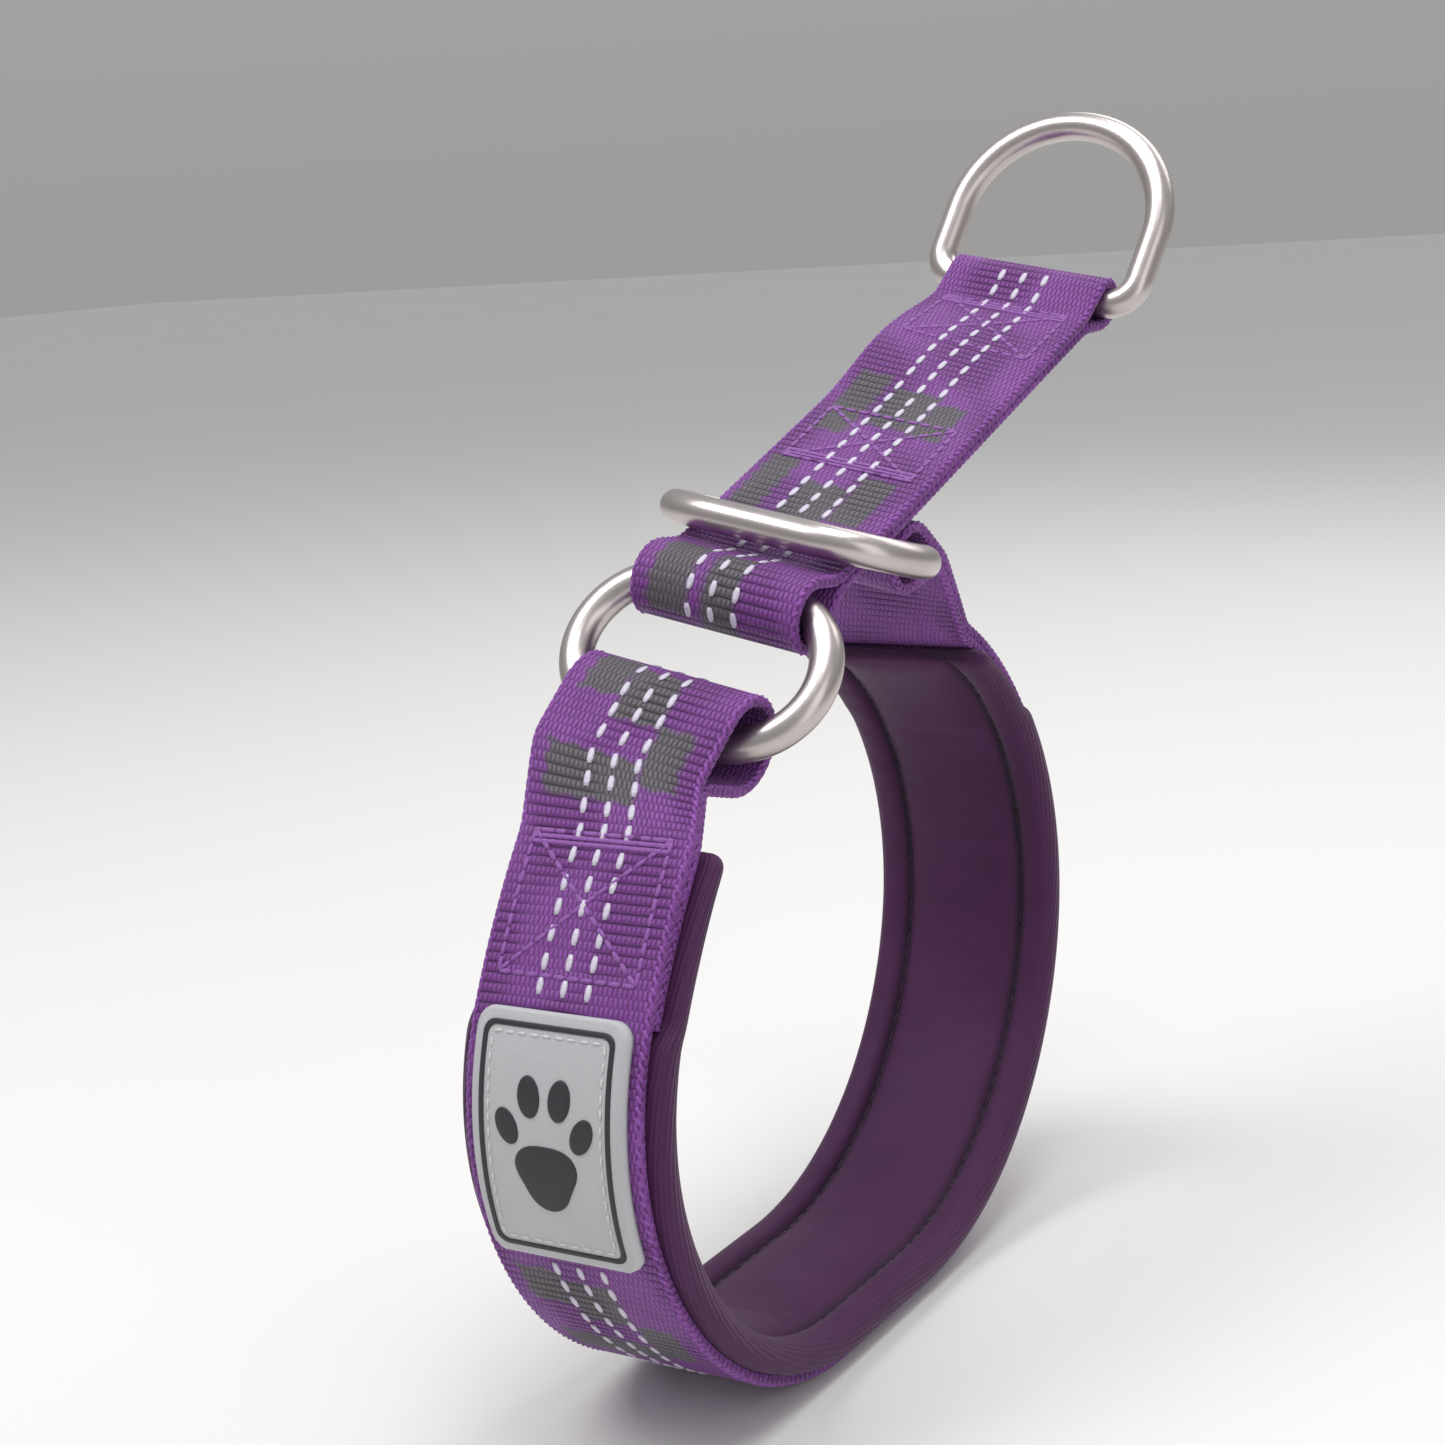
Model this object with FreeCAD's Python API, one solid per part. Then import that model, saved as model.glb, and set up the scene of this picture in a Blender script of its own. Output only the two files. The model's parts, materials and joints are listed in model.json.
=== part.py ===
"""Limited-slip martingale collar: padded neck loop, control strap, two oval rings and a leash D-ring.

Frame: X runs across the webbing, Y from the patch (front, -Y) to the nape (back, +Y), Z up.
The origin is on the flat stretch that the loop stands on. Millimetres.

The neck loop is drawn as a side profile: its outer face is a flat stretch and tangent arcs, and
every layer is an offset of it. The rings and the control strap lean a little, so they are drawn in
their own strap frame (across, along, normal) whose origin is the centre of the front ring's upper bar.
"""
import FreeCAD, Part
import math
import os

V = FreeCAD.Vector

# ---- webbing and padding ------------------------------------------------------------------
WEBBING_WIDTH = 22.5
WEBBING_THICK = 1.3
PAD_OVERHANG = 2.0             # the padding is this much wider than the webbing, on each side
FOAM_THICK = 3.4
LINING_THICK = 0.8
BINDING_WIDTH = 1.5            # edge binding on each long side of the foam
SEAM_INSET = 5.0               # groove seam, from the padding's edge
SEAM_WIDTH = 0.6
SEAM_HEIGHT = 0.25
THREAD_PITCH = 3.3             # between neighbouring reflective threads
THREAD_WIDTH = 0.7
THREAD_HEIGHT = 0.2
THREAD_COUNT = 3
THREAD_MARGIN = 1.0            # the threads stop this far short of what parts them

# ---- neck loop, outer face of the webbing -------------------------------------------------
FLAT_HALF = 9.0                # half of the flat stretch at the bottom
FRONT_ARCS = [(41.0, 74.0), (33.0, 43.0), (96.0, 12.5)]    # radius, sweep in degrees, bottom to top
BACK_ARCS = [(46.5, 72.0), (40.0, 54.0), (45.0, 27.0)]
HINGE_Y = -3.0                 # the loop flexes about this line of its bottom face
HINGE_GAP = 0.3
FRONT_FOLD_LENGTH = 22.0       # folded-back webbing under the front box stitch
BACK_FOLD_LENGTH = 20.0
PAD_FRONT_SETBACK = 1.0        # the padding stops this far short of the loop profile's end
PAD_BACK_SETBACK = 3.0

# ---- rings --------------------------------------------------------------------------------
RING_WIRE = 4.0
RING_SIDE_ROOM = 2.5           # the oval rings are this much wider than the webbing, on each side
RING_INNER_HEIGHT = 15.0
DRING_WIRE = 3.8
DRING_SIDE_ROOM = 1.2
DRING_SIDE = 10.0              # straight side, from the bar's centre line to the bow
WRAP_CLEARANCE = 0.3           # between a ring's wire and the webbing folded round it
STRAP_CLEARANCE = 0.4          # between the sliding strap and the rear ring
FRONT_EYE_PLAY = 1.3           # extra room for the front ring's lower bar

# ---- control strap ------------------------------------------------------------------------
STRAP_LENGTH = 75.0            # from the front ring's upper bar to the D-ring's bar
REST_GAP = 0.5                 # from the strap's front fold to the rear ring's bar
STRAP_ORIGIN = V(1.5, -7.7, 92.0)
STRAP_YAW = 6.0
STRAP_PITCH = 22.5
STRAP_ROLL = 12.0
STRAP_EYE_CLOSING = 0.145      # from a fold's inside to where its two layers meet
FRONT_EYE_CLOSING = 0.845
BACK_EYE_CLOSING = 2.145
FRONT_RING_PITCH = 25.0        # front ring's plane, from the strap's plane
DRING_PITCH = 38.0
FRONT_LEG_PITCH = 22.5         # front webbing at its eye, from the strap's plane
BACK_LEG_PITCH = -57.0

# ---- label patch --------------------------------------------------------------------------
PATCH_MARGIN = 1.5             # webbing left showing on each side of the patch
PATCH_LENGTH = 27.5
PATCH_THICK = 1.2
PATCH_START = 59.0             # along the front of the loop, from the flat's centre
PATCH_CORNER = 2.0
PRINT_HEIGHT = 0.2
BORDER_INSET = 1.1
BORDER_WIDTH = 0.6
BORDER_INNER_CORNER = 1.0
PATCH_STITCH_INSET = 2.6
PATCH_STITCH_LENGTH = 1.6
PATCH_STITCH_WIDTH = 0.4
PATCH_STITCH_PITCH = 2.56
PAW_PAD = (0.0, -2.4, 4.0, 3.2)                          # place across, place up, half width, half height
PAW_TOE_RADII = (1.35, 1.9)
PAW_TOES = [(1.8, 4.9, -8.0), (4.9, 2.2, -24.0)]         # place across, place up, tilt; each has a mirror

# ---- box stitching ------------------------------------------------------------------------
STITCH_WIDTH = 0.6
STITCH_HEIGHT = 0.25
STITCH_INSET = 2.5             # box stitch, from the webbing's edge
STITCH_END_MARGIN = 1.5        # box stitch, from the end of the loop's profile
FRONT_BOX_LENGTH = 16.0
BACK_BOX_LENGTH = 14.0
STRAP_BOX_LENGTH = 12.0
STRAP_BOX_FRONT_MARGIN = 2.0   # from the rear ring's bar
STRAP_BOX_BACK_MARGIN = 1.0    # from the D-ring's fold

# ---- worked out from the sizes above ------------------------------------------------------
HALF_WEB = WEBBING_WIDTH / 2
HALF_PAD = HALF_WEB + PAD_OVERHANG
HALF_PATCH = HALF_WEB - PATCH_MARGIN
FOAM_DEPTH = WEBBING_THICK + FOAM_THICK             # from the webbing's outer face to the foam's inner face
PAD_DEPTH = FOAM_DEPTH + LINING_THICK
RING_BAR = (RING_INNER_HEIGHT + RING_WIRE) / 2      # ring centre to either bar's centre line
RING_STRAIGHT = HALF_WEB + RING_SIDE_ROOM - RING_INNER_HEIGHT / 2
DRING_HALF = HALF_WEB + DRING_SIDE_ROOM + DRING_WIRE / 2
CUTTER_NEAR = -FLAT_HALF                            # span in Y of the prisms that cut the patch's outlines
CUTTER_DEPTH = 2 * FRONT_ARCS[0][0]
SKIN_MARGIN = 2.0                                   # a skin reaches this far past what is cut out of it
STITCH_CUTTER_DEPTH = 8.0
STITCH_CUTTER_SINK = 3.0
TINY = 1e-6


def rise_at_edge(radius):
    """How far a circle of the ring's end has curved towards the ring's centre at the webbing's edge."""
    beyond = max(HALF_WEB - RING_STRAIGHT, 0.0)
    return radius - math.sqrt(radius ** 2 - beyond ** 2)


def export(shape, node):
    """Writes one sub-part."""
    shape.exportStep("parts/%s.step" % node)
    print("%-28s solids %d volume %.1f" % (node, len(shape.Solids), shape.Volume))


def joined(edges):
    """The face inside a closed loop of edges that are given in any order."""
    return Part.Face(Part.Wire(Part.__sortEdges__(edges)))


def line(first, last):
    """A straight edge."""
    return Part.LineSegment(first, last).toShape()


def arc(first, middle, last):
    """A circular edge through three points."""
    return Part.Arc(first, middle, last).toShape()


# ---- the loop's profile -------------------------------------------------------------------
class Profile:
    """One half of the loop's outer face, measured by s from the flat's centre upwards.

    side is -1 for the front half and +1 for the back half. start is the s of its edge at the hinge.
    """

    def __init__(self, side, arcs, start):
        self.side = side
        self.start = start
        self.pieces = [(start, FLAT_HALF, None, 0.0, 0.0, 0.0)]
        self.length = FLAT_HALF
        y, z, heading = FLAT_HALF, 0.0, 0.0
        for radius, degrees in arcs:
            sweep = math.radians(degrees)
            self.pieces.append((self.length, self.length + radius * sweep, radius, y, z, heading))
            centre_y = y - radius * math.sin(heading)
            centre_z = z + radius * math.cos(heading)
            heading += sweep
            y = centre_y + radius * math.sin(heading)
            z = centre_z - radius * math.cos(heading)
            self.length += radius * sweep

    def piece_at(self, s):
        """The straight or arc of the profile that s is on."""
        for piece in self.pieces:
            if s <= piece[1]:
                return piece
        return self.pieces[-1]

    def point(self, s, depth, x=0.0, piece=None):
        """The point at s along the outer face, depth inside it."""
        start, _, radius, y, z, heading = piece or self.piece_at(s)
        if radius is None:
            return V(x, self.side * s, depth)
        turn = heading + (s - start) / radius
        centre_y = y - radius * math.sin(heading)
        centre_z = z + radius * math.cos(heading)
        inner = radius - depth
        return V(x, self.side * (centre_y + inner * math.sin(turn)), centre_z - inner * math.cos(turn))

    def edges(self, s0, s1, depth, x):
        """Line and arc edges along the profile from s0 to s1."""
        found = []
        for piece in self.pieces:
            a, b = max(s0, piece[0]), min(s1, piece[1])
            if b - a < TINY:
                continue
            first = self.point(a, depth, x, piece)
            last = self.point(b, depth, x, piece)
            if piece[2] is None:
                found.append(line(first, last))
            else:
                found.append(arc(first, self.point((a + b) / 2, depth, x, piece), last))
        return found

    def band(self, s0, s1, outer, inner, x0, x1):
        """A layer of the loop: from s0 to s1, between two depths, from x0 to x1."""
        ends = [line(self.point(s, outer, x0), self.point(s, inner, x0)) for s in (s0, s1)]
        loop = self.edges(s0, s1, outer, x0) + self.edges(s0, s1, inner, x0) + ends
        return joined(loop).extrude(V(x1 - x0, 0, 0))

    def section(self, s, outer, inner, half):
        """Corner points of the layer's cross-section at s."""
        return [self.point(s, outer, -half), self.point(s, outer, half),
                self.point(s, inner, half), self.point(s, inner, -half)]

    def lift_off(self, height):
        """The s from which a strip standing that proud of the face is above the flat's plane."""
        radius = self.pieces[1][2]
        return FLAT_HALF + radius * math.acos(radius / (radius + height))


FRONT = Profile(-1, FRONT_ARCS, HINGE_GAP / 2 - HINGE_Y)
BACK = Profile(1, BACK_ARCS, HINGE_GAP / 2 + HINGE_Y)


# ---- the strap frame ----------------------------------------------------------------------
def strap_rotation():
    """Turns (across, along, normal) into the row's axes."""
    along = FreeCAD.Rotation(V(0, 0, 1), -STRAP_YAW)
    lift = FreeCAD.Rotation(V(1, 0, 0), STRAP_PITCH)
    lean = FreeCAD.Rotation(V(0, 1, 0), STRAP_ROLL)
    return along.multiply(lift).multiply(lean)


STRAP_FRAME = FreeCAD.Placement(STRAP_ORIGIN, strap_rotation())


def placed(shape):
    """Moves a shape that was drawn in the strap frame to its place."""
    moved = shape.copy()
    moved.Placement = STRAP_FRAME.multiply(moved.Placement)
    return moved


def direction(degrees):
    """Unit vector in the strap frame's side plane, from the along axis towards the normal."""
    return V(0, math.cos(math.radians(degrees)), math.sin(math.radians(degrees)))


# ---- folded eyes --------------------------------------------------------------------------
def tangent(point, centre, radius, side):
    """Where the tangent from a point meets a circle in the side plane. side is +1 or -1."""
    to_point = point - centre
    base = math.atan2(to_point.z, to_point.y)
    angle = base + side * math.acos(radius / to_point.Length)
    return centre + V(0, radius * math.cos(angle), radius * math.sin(angle))


def teardrop(centre, radius, ends, x):
    """Face round a circle and the one or two end points that its tangents run to."""
    first, last = ends[0], ends[-1]
    start = tangent(first, centre, radius, 1)
    stop = tangent(last, centre, radius, -1)
    away = centre - (first + last) * 0.5
    away.normalize()
    crown = centre + away * radius
    shift = V(x, 0, 0)
    edges = [line(first + shift, start + shift),
             arc(start + shift, crown + shift, stop + shift),
             line(stop + shift, last + shift)]
    if (first - last).Length > TINY:
        edges.append(line(last + shift, first + shift))
    return joined(edges)


class Eye:
    """Webbing folded round a ring's bar, closing to a double layer along leg_degrees.

    sink moves the double layer sideways, so that one face of it can be in line with the fold's outside.
    """

    def __init__(self, centre, radius, leg_degrees, taper, sink):
        self.centre = centre
        self.radius = radius
        self.leg = direction(leg_degrees)
        self.normal = direction(leg_degrees + 90.0)
        middle = centre + self.leg * taper + self.normal * sink
        self.ends = [middle + self.normal * WEBBING_THICK, middle - self.normal * WEBBING_THICK]
        self.apex = centre + self.leg * (taper - 2 * WEBBING_THICK) + self.normal * sink

    def solid(self):
        """The folded webbing, as wide as the strap."""
        outer = teardrop(self.centre, self.radius + WEBBING_THICK, self.ends, -HALF_WEB)
        hole = teardrop(self.centre, self.radius, [self.apex], -HALF_WEB)
        return outer.cut(hole).extrude(V(WEBBING_WIDTH, 0, 0))

    def section(self):
        """Corner points of the double layer where the eye ends, in the row's frame."""
        corners = []
        for end, half in ((0, -HALF_WEB), (0, HALF_WEB), (1, HALF_WEB), (1, -HALF_WEB)):
            corners.append(STRAP_FRAME.multVec(self.ends[end] + V(half, 0, 0)))
        return corners


def fold_radius(wire, rise, play):
    """Inside radius of a fold that clears a bar whose ends rise by rise."""
    return wire / 2 + rise / 2 + play


def taper(radius, closing):
    """Length over which a folded eye closes to the double layer, from its bar."""
    return radius + closing + 2 * WEBBING_THICK


# ---- where the rings and eyes are, in the strap frame -------------------------------------
RISE = rise_at_edge(RING_INNER_HEIGHT / 2)      # of the wire's inner side
BAR_RISE = rise_at_edge(RING_BAR)               # of the wire's centre line
RING_FOLD = fold_radius(RING_WIRE, RISE, WRAP_CLEARANCE)
FRONT_FOLD = RING_FOLD + FRONT_EYE_PLAY
DRING_FOLD = fold_radius(DRING_WIRE, 0.0, WRAP_CLEARANCE)
EYE_TAPER = taper(max(RING_FOLD, DRING_FOLD), STRAP_EYE_CLOSING)
FRONT_EYE_TAPER = taper(FRONT_FOLD, FRONT_EYE_CLOSING)
BACK_EYE_TAPER = taper(RING_FOLD, BACK_EYE_CLOSING)
FRONT_RING_DIR = direction(FRONT_RING_PITCH)
FRONT_RING_CENTRE = FRONT_RING_DIR * -RING_BAR
FRONT_LOWER_BAR = FRONT_RING_DIR * (-2 * RING_BAR)
DRING_BAR = V(0, STRAP_LENGTH, 0)


def rear_ring_pose():
    """Centre and plane angle that leave room for the strap over one bar and under the other."""
    over = WEBBING_THICK + RING_WIRE / 2 + STRAP_CLEARANCE
    under = WEBBING_THICK + RING_FOLD + WEBBING_THICK + STRAP_CLEARANCE
    front_arm = RING_BAR - BAR_RISE
    back_arm = RING_BAR - RISE / 2
    angle = math.degrees(math.asin((over + under) / (front_arm + back_arm)))
    height = over - front_arm * math.sin(math.radians(angle))
    rest = EYE_TAPER + RING_BAR * math.cos(math.radians(angle)) + REST_GAP
    return V(0, rest, height), -angle


REAR_RING_CENTRE, REAR_RING_ANGLE = rear_ring_pose()
REAR_RING_DIR = direction(REAR_RING_ANGLE)
REAR_LOWER_BAR = REAR_RING_CENTRE + REAR_RING_DIR * RING_BAR

STRAP_FRONT_CENTRE = FRONT_RING_DIR * (-RISE / 2)
STRAP_FRONT_EYE = Eye(STRAP_FRONT_CENTRE, RING_FOLD, 0.0, EYE_TAPER, -STRAP_FRONT_CENTRE.z)
STRAP_BACK_EYE = Eye(DRING_BAR, DRING_FOLD, 180.0, EYE_TAPER, 0.0)
FRONT_EYE = Eye(FRONT_LOWER_BAR + FRONT_RING_DIR * (RISE / 2), FRONT_FOLD,
                180.0 + FRONT_LEG_PITCH, FRONT_EYE_TAPER, -FRONT_FOLD)
BACK_EYE = Eye(REAR_LOWER_BAR - REAR_RING_DIR * (RISE / 2), RING_FOLD,
               BACK_LEG_PITCH, BACK_EYE_TAPER, RING_FOLD)


# ---- webbing ------------------------------------------------------------------------------
def transition(lower, upper):
    """Double webbing that turns from the loop's section to an eye's section."""
    wires = [Part.makePolygon(corners + corners[:1]) for corners in (lower, upper)]
    return Part.makeLoft(wires, True, True)


def webbing(profile, fold_length, eye):
    """One half of the neck strap: the long layer, its folded-back end, and the eye round a ring's bar."""
    main = profile.band(profile.start, profile.length, 0.0, WEBBING_THICK, -HALF_WEB, HALF_WEB)
    fold = profile.band(profile.length - fold_length, profile.length, WEBBING_THICK, 2 * WEBBING_THICK,
                        -HALF_WEB, HALF_WEB)
    lower = profile.section(profile.length, 0.0, 2 * WEBBING_THICK, HALF_WEB)
    twist = transition(lower, eye.section())
    return main.fuse([fold, twist, placed(eye.solid())]).removeSplitter()


def control_strap():
    """Upper layer with the front eye, and lower layer with the back eye."""
    start = STRAP_FRONT_EYE.ends[0].y
    stop = STRAP_LENGTH - EYE_TAPER
    size = (WEBBING_WIDTH, stop - start, WEBBING_THICK)
    upper = Part.makeBox(*size, V(-HALF_WEB, start, 0)).fuse(STRAP_FRONT_EYE.solid())
    lower = Part.makeBox(*size, V(-HALF_WEB, start, -WEBBING_THICK)).fuse(STRAP_BACK_EYE.solid())
    return placed(upper.removeSplitter()), placed(lower.removeSplitter())


# ---- padding ------------------------------------------------------------------------------
def padding_nodes(profile, setback, fold_length, name):
    """Foam core, lining, edge binding and groove seams of one half."""
    stop = profile.length - setback
    core = HALF_PAD - BINDING_WIDTH
    foam = profile.band(profile.start, stop, WEBBING_THICK, FOAM_DEPTH, -core, core)
    fold = profile.band(profile.length - fold_length, profile.length, 0.0, 2 * WEBBING_THICK,
                        -HALF_WEB, HALF_WEB)
    lining = profile.band(profile.start, stop, FOAM_DEPTH, PAD_DEPTH, -core, core)
    bindings = []
    for x in (-HALF_PAD, core):
        bindings.append(profile.band(profile.start, stop, WEBBING_THICK, PAD_DEPTH, x, x + BINDING_WIDTH))
    seams = []
    for x in (SEAM_INSET - HALF_PAD, HALF_PAD - SEAM_INSET):
        seams.append(profile.band(profile.start, stop - SEAM_INSET, PAD_DEPTH, PAD_DEPTH + SEAM_HEIGHT,
                                  x - SEAM_WIDTH / 2, x + SEAM_WIDTH / 2))
    export(foam.cut(fold), "foam_core_" + name)
    export(lining, "lining_" + name)
    export(Part.makeCompound(bindings), "edge_binding_" + name)
    export(Part.makeCompound(seams), "groove_seams_" + name)


# ---- rings --------------------------------------------------------------------------------
def wire_ring(path, wire, start):
    """Round wire along a closed path that starts along the across axis."""
    circle = Part.Wire(Part.Circle(start, V(1, 0, 0), wire / 2).toShape())
    return placed(Part.Wire(path).makePipeShell([circle], True, True))


def oval_ring(centre, up):
    """Oval ring whose long sides are bars across the webbing."""
    a, r = RING_STRAIGHT, RING_BAR

    def at(x, y):
        return centre + V(x, 0, 0) + up * y

    path = [line(at(-a, -r), at(a, -r)),
            arc(at(a, -r), at(a + r, 0), at(a, r)),
            line(at(a, r), at(-a, r)),
            arc(at(-a, r), at(-a - r, 0), at(-a, -r))]
    return wire_ring(path, RING_WIRE, at(-a, -r))


def d_ring():
    """Straight bar in the strap's end, two straight sides and a half-round bow."""
    half = DRING_HALF
    corner = DRING_WIRE
    bend = corner * (1 - math.sqrt(0.5))
    up = direction(DRING_PITCH)

    def at(x, y):
        return DRING_BAR + V(x, 0, 0) + up * y

    path = [line(at(corner - half, 0), at(half - corner, 0)),
            arc(at(half - corner, 0), at(half - bend, bend), at(half, corner)),
            line(at(half, corner), at(half, DRING_SIDE)),
            arc(at(half, DRING_SIDE), at(0, DRING_SIDE + half), at(-half, DRING_SIDE)),
            line(at(-half, DRING_SIDE), at(-half, corner)),
            arc(at(-half, corner), at(bend - half, bend), at(corner - half, 0))]
    return wire_ring(path, DRING_WIRE, at(corner - half, 0))


# ---- label patch --------------------------------------------------------------------------
def cutter(face):
    """Prism in front of the loop that cuts the face's outline out of a skin."""
    return face.extrude(V(0, -CUTTER_DEPTH, 0))


def patch_edges(inset):
    """Half width, lower edge and upper edge of the patch outline, drawn in by inset."""
    low = FRONT.point(PATCH_START + inset, 0.0).z
    high = FRONT.point(PATCH_START + PATCH_LENGTH - inset, 0.0).z
    return HALF_PATCH - inset, low, high


def rounded_cutter(inset, corner):
    """Cutter of the patch outline, drawn in by inset, with rounded corners."""
    half, low, high = patch_edges(inset)
    corners = [V(x, CUTTER_NEAR, z) for x, z in ((-half, low), (half, low), (half, high), (-half, high))]
    solid = cutter(Part.Face(Part.makePolygon(corners + corners[:1])))
    uprights = [edge for edge in solid.Edges if abs(edge.Vertexes[0].Y - edge.Vertexes[-1].Y) > TINY]
    return solid.makeFillet(corner, uprights)


def patch_skin(depth, height):
    """A skin over the whole patch area, from depth to height further out."""
    return FRONT.band(PATCH_START - SKIN_MARGIN, PATCH_START + PATCH_LENGTH + SKIN_MARGIN,
                      -depth - height, -depth, -HALF_WEB, HALF_WEB)


def label_patch():
    """The patch itself."""
    return patch_skin(0.0, PATCH_THICK).common(rounded_cutter(0.0, PATCH_CORNER))


def patch_border():
    """Printed line inside the patch's edge."""
    outer = rounded_cutter(BORDER_INSET, PATCH_CORNER - BORDER_INSET / 2)
    inner = rounded_cutter(BORDER_INSET + BORDER_WIDTH, BORDER_INNER_CORNER)
    return patch_skin(PATCH_THICK, PRINT_HEIGHT).common(outer.cut(inner))


def ellipse_cutter(x, z, half_x, half_z, tilt):
    """Cutter of an ellipse whose longer axis is leaned by tilt."""
    face = Part.Face(Part.Wire(Part.Ellipse(V(0, 0, 0), max(half_x, half_z), min(half_x, half_z)).toShape()))
    quarter = 90.0 if half_z > half_x else 0.0
    face.rotate(V(0, 0, 0), V(0, 0, 1), quarter + tilt)
    face.rotate(V(0, 0, 0), V(1, 0, 0), 90.0)
    face.translate(V(x, CUTTER_NEAR, z))
    return cutter(face)


def paw_emblem():
    """Plain paw print: one pad and four toes."""
    _, low, high = patch_edges(0.0)
    middle = (low + high) / 2
    x, z, half_x, half_z = PAW_PAD
    cutters = [ellipse_cutter(x, middle + z, half_x, half_z, 0.0)]
    for x, z, tilt in PAW_TOES:
        for side in (-1, 1):
            cutters.append(ellipse_cutter(side * x, middle + z, *PAW_TOE_RADII, side * tilt))
    skin = patch_skin(PATCH_THICK, PRINT_HEIGHT)
    return Part.makeCompound([skin.common(cut) for cut in cutters])


def dash_places(first, last):
    """Middles of the dashes that fit between two ends."""
    count = int((last - first) / PATCH_STITCH_PITCH)
    return [first + (last - first) * (i + 0.5) / count for i in range(count)]


def patch_stitching():
    """Dashes sewn round the patch, inside its border."""
    half, low, high = patch_edges(PATCH_STITCH_INSET)
    length, width = PATCH_STITCH_LENGTH, PATCH_STITCH_WIDTH
    dashes = [(x, z, width, length) for z in dash_places(low, high) for x in (-half, half)]
    dashes += [(x, z, length, width) for x in dash_places(-half, half) for z in (low, high)]
    skin = patch_skin(PATCH_THICK, PRINT_HEIGHT)
    threads = []
    for x, z, size_x, size_z in dashes:
        corner = V(x - size_x / 2, CUTTER_NEAR - CUTTER_DEPTH, z - size_z / 2)
        threads.append(skin.common(Part.makeBox(size_x, CUTTER_DEPTH, size_z, corner)))
    return Part.makeCompound(threads)


# ---- box stitching ------------------------------------------------------------------------
def flat_box_stitch(length, rise):
    """Box and cross of raised thread, drawn flat: x across, y from 0 to length."""
    half = HALF_WEB - STITCH_INSET
    w = STITCH_WIDTH
    frame = Part.makeBox(2 * half, length, rise, V(-half, 0, 0))
    frame = frame.cut(Part.makeBox(2 * half - 2 * w, length - 2 * w, rise, V(w - half, w, 0)))
    diagonal = math.hypot(2 * half - w, length - w)
    lean = math.degrees(math.atan2(length - w, 2 * half - w))
    for sign in (-1, 1):
        bar = Part.makeBox(diagonal, w, rise, V(-diagonal / 2, -w / 2, 0))
        bar.rotate(V(0, 0, 0), V(0, 0, 1), sign * lean)
        bar.translate(V(0, length / 2, 0))
        frame = frame.fuse(bar)
    return frame.removeSplitter()


def loop_box_stitch(profile, length):
    """Box stitch on the curved outer face, near its end: the flat pattern cut out of a thin skin."""
    stop = profile.length - STITCH_END_MARGIN
    foot = profile.point(stop - length, 0.0)
    up = profile.point(stop, 0.0) - foot
    pattern = flat_box_stitch(up.Length, STITCH_CUTTER_DEPTH)
    out = V(0, profile.side * up.z, -profile.side * up.y)
    out.normalize()
    up.normalize()
    turn = FreeCAD.Rotation(V(1, 0, 0), up, out, "ZYX")
    pattern.Placement = FreeCAD.Placement(foot - out * STITCH_CUTTER_SINK, turn)
    skin = profile.band(stop - length - SKIN_MARGIN, profile.length, -STITCH_HEIGHT, 0.0, -HALF_WEB, HALF_WEB)
    return skin.common(pattern)


def strap_box_stitch(start):
    """Box stitch on the control strap's upper face."""
    pattern = flat_box_stitch(STRAP_BOX_LENGTH, STITCH_HEIGHT)
    pattern.translate(V(0, start, WEBBING_THICK))
    return placed(pattern)


# ---- reflective threads -------------------------------------------------------------------
def thread_edges():
    """Low-x edge of each thread."""
    middle = (THREAD_COUNT - 1) / 2
    return [(i - middle) * THREAD_PITCH - THREAD_WIDTH / 2 for i in range(THREAD_COUNT)]


def loop_threads(profile, spans, stitching):
    """Threads woven along the outer face, over each span of the profile, parted by the stitching."""
    threads = []
    for x in thread_edges():
        for s0, s1 in spans:
            thread = profile.band(s0, s1, -THREAD_HEIGHT, 0.0, x, x + THREAD_WIDTH)
            threads.append(thread.cut(stitching))
    return Part.makeCompound(threads)


def strap_threads(stitching):
    """Threads along the strap's upper face, between the eyes, parted by the stitching."""
    start = EYE_TAPER + THREAD_MARGIN
    threads = []
    for x in thread_edges():
        corner = V(x, start, WEBBING_THICK)
        thread = placed(Part.makeBox(THREAD_WIDTH, STRAP_LENGTH - 2 * start, THREAD_HEIGHT, corner))
        threads.append(thread.cut(stitching))
    return Part.makeCompound(threads)


# ---- build --------------------------------------------------------------------------------
def build_loop():
    """Webbing and padding of both halves."""
    export(webbing(FRONT, FRONT_FOLD_LENGTH, FRONT_EYE), "webbing_front")
    export(webbing(BACK, BACK_FOLD_LENGTH, BACK_EYE), "webbing_back")
    padding_nodes(FRONT, PAD_FRONT_SETBACK, FRONT_FOLD_LENGTH, "front")
    padding_nodes(BACK, PAD_BACK_SETBACK, BACK_FOLD_LENGTH, "back")


def build_strap_and_rings():
    """Control strap and hardware."""
    upper, lower = control_strap()
    export(upper, "control_strap_upper")
    export(lower, "control_strap_lower")
    export(oval_ring(FRONT_RING_CENTRE, FRONT_RING_DIR), "front_ring")
    export(oval_ring(REAR_RING_CENTRE, REAR_RING_DIR), "rear_ring")
    export(d_ring(), "leash_d_ring")


def build_patch():
    """Label patch with its print and stitching."""
    export(label_patch(), "label_patch")
    export(patch_border(), "patch_border")
    export(paw_emblem(), "paw_emblem")
    export(patch_stitching(), "patch_stitching")


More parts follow.
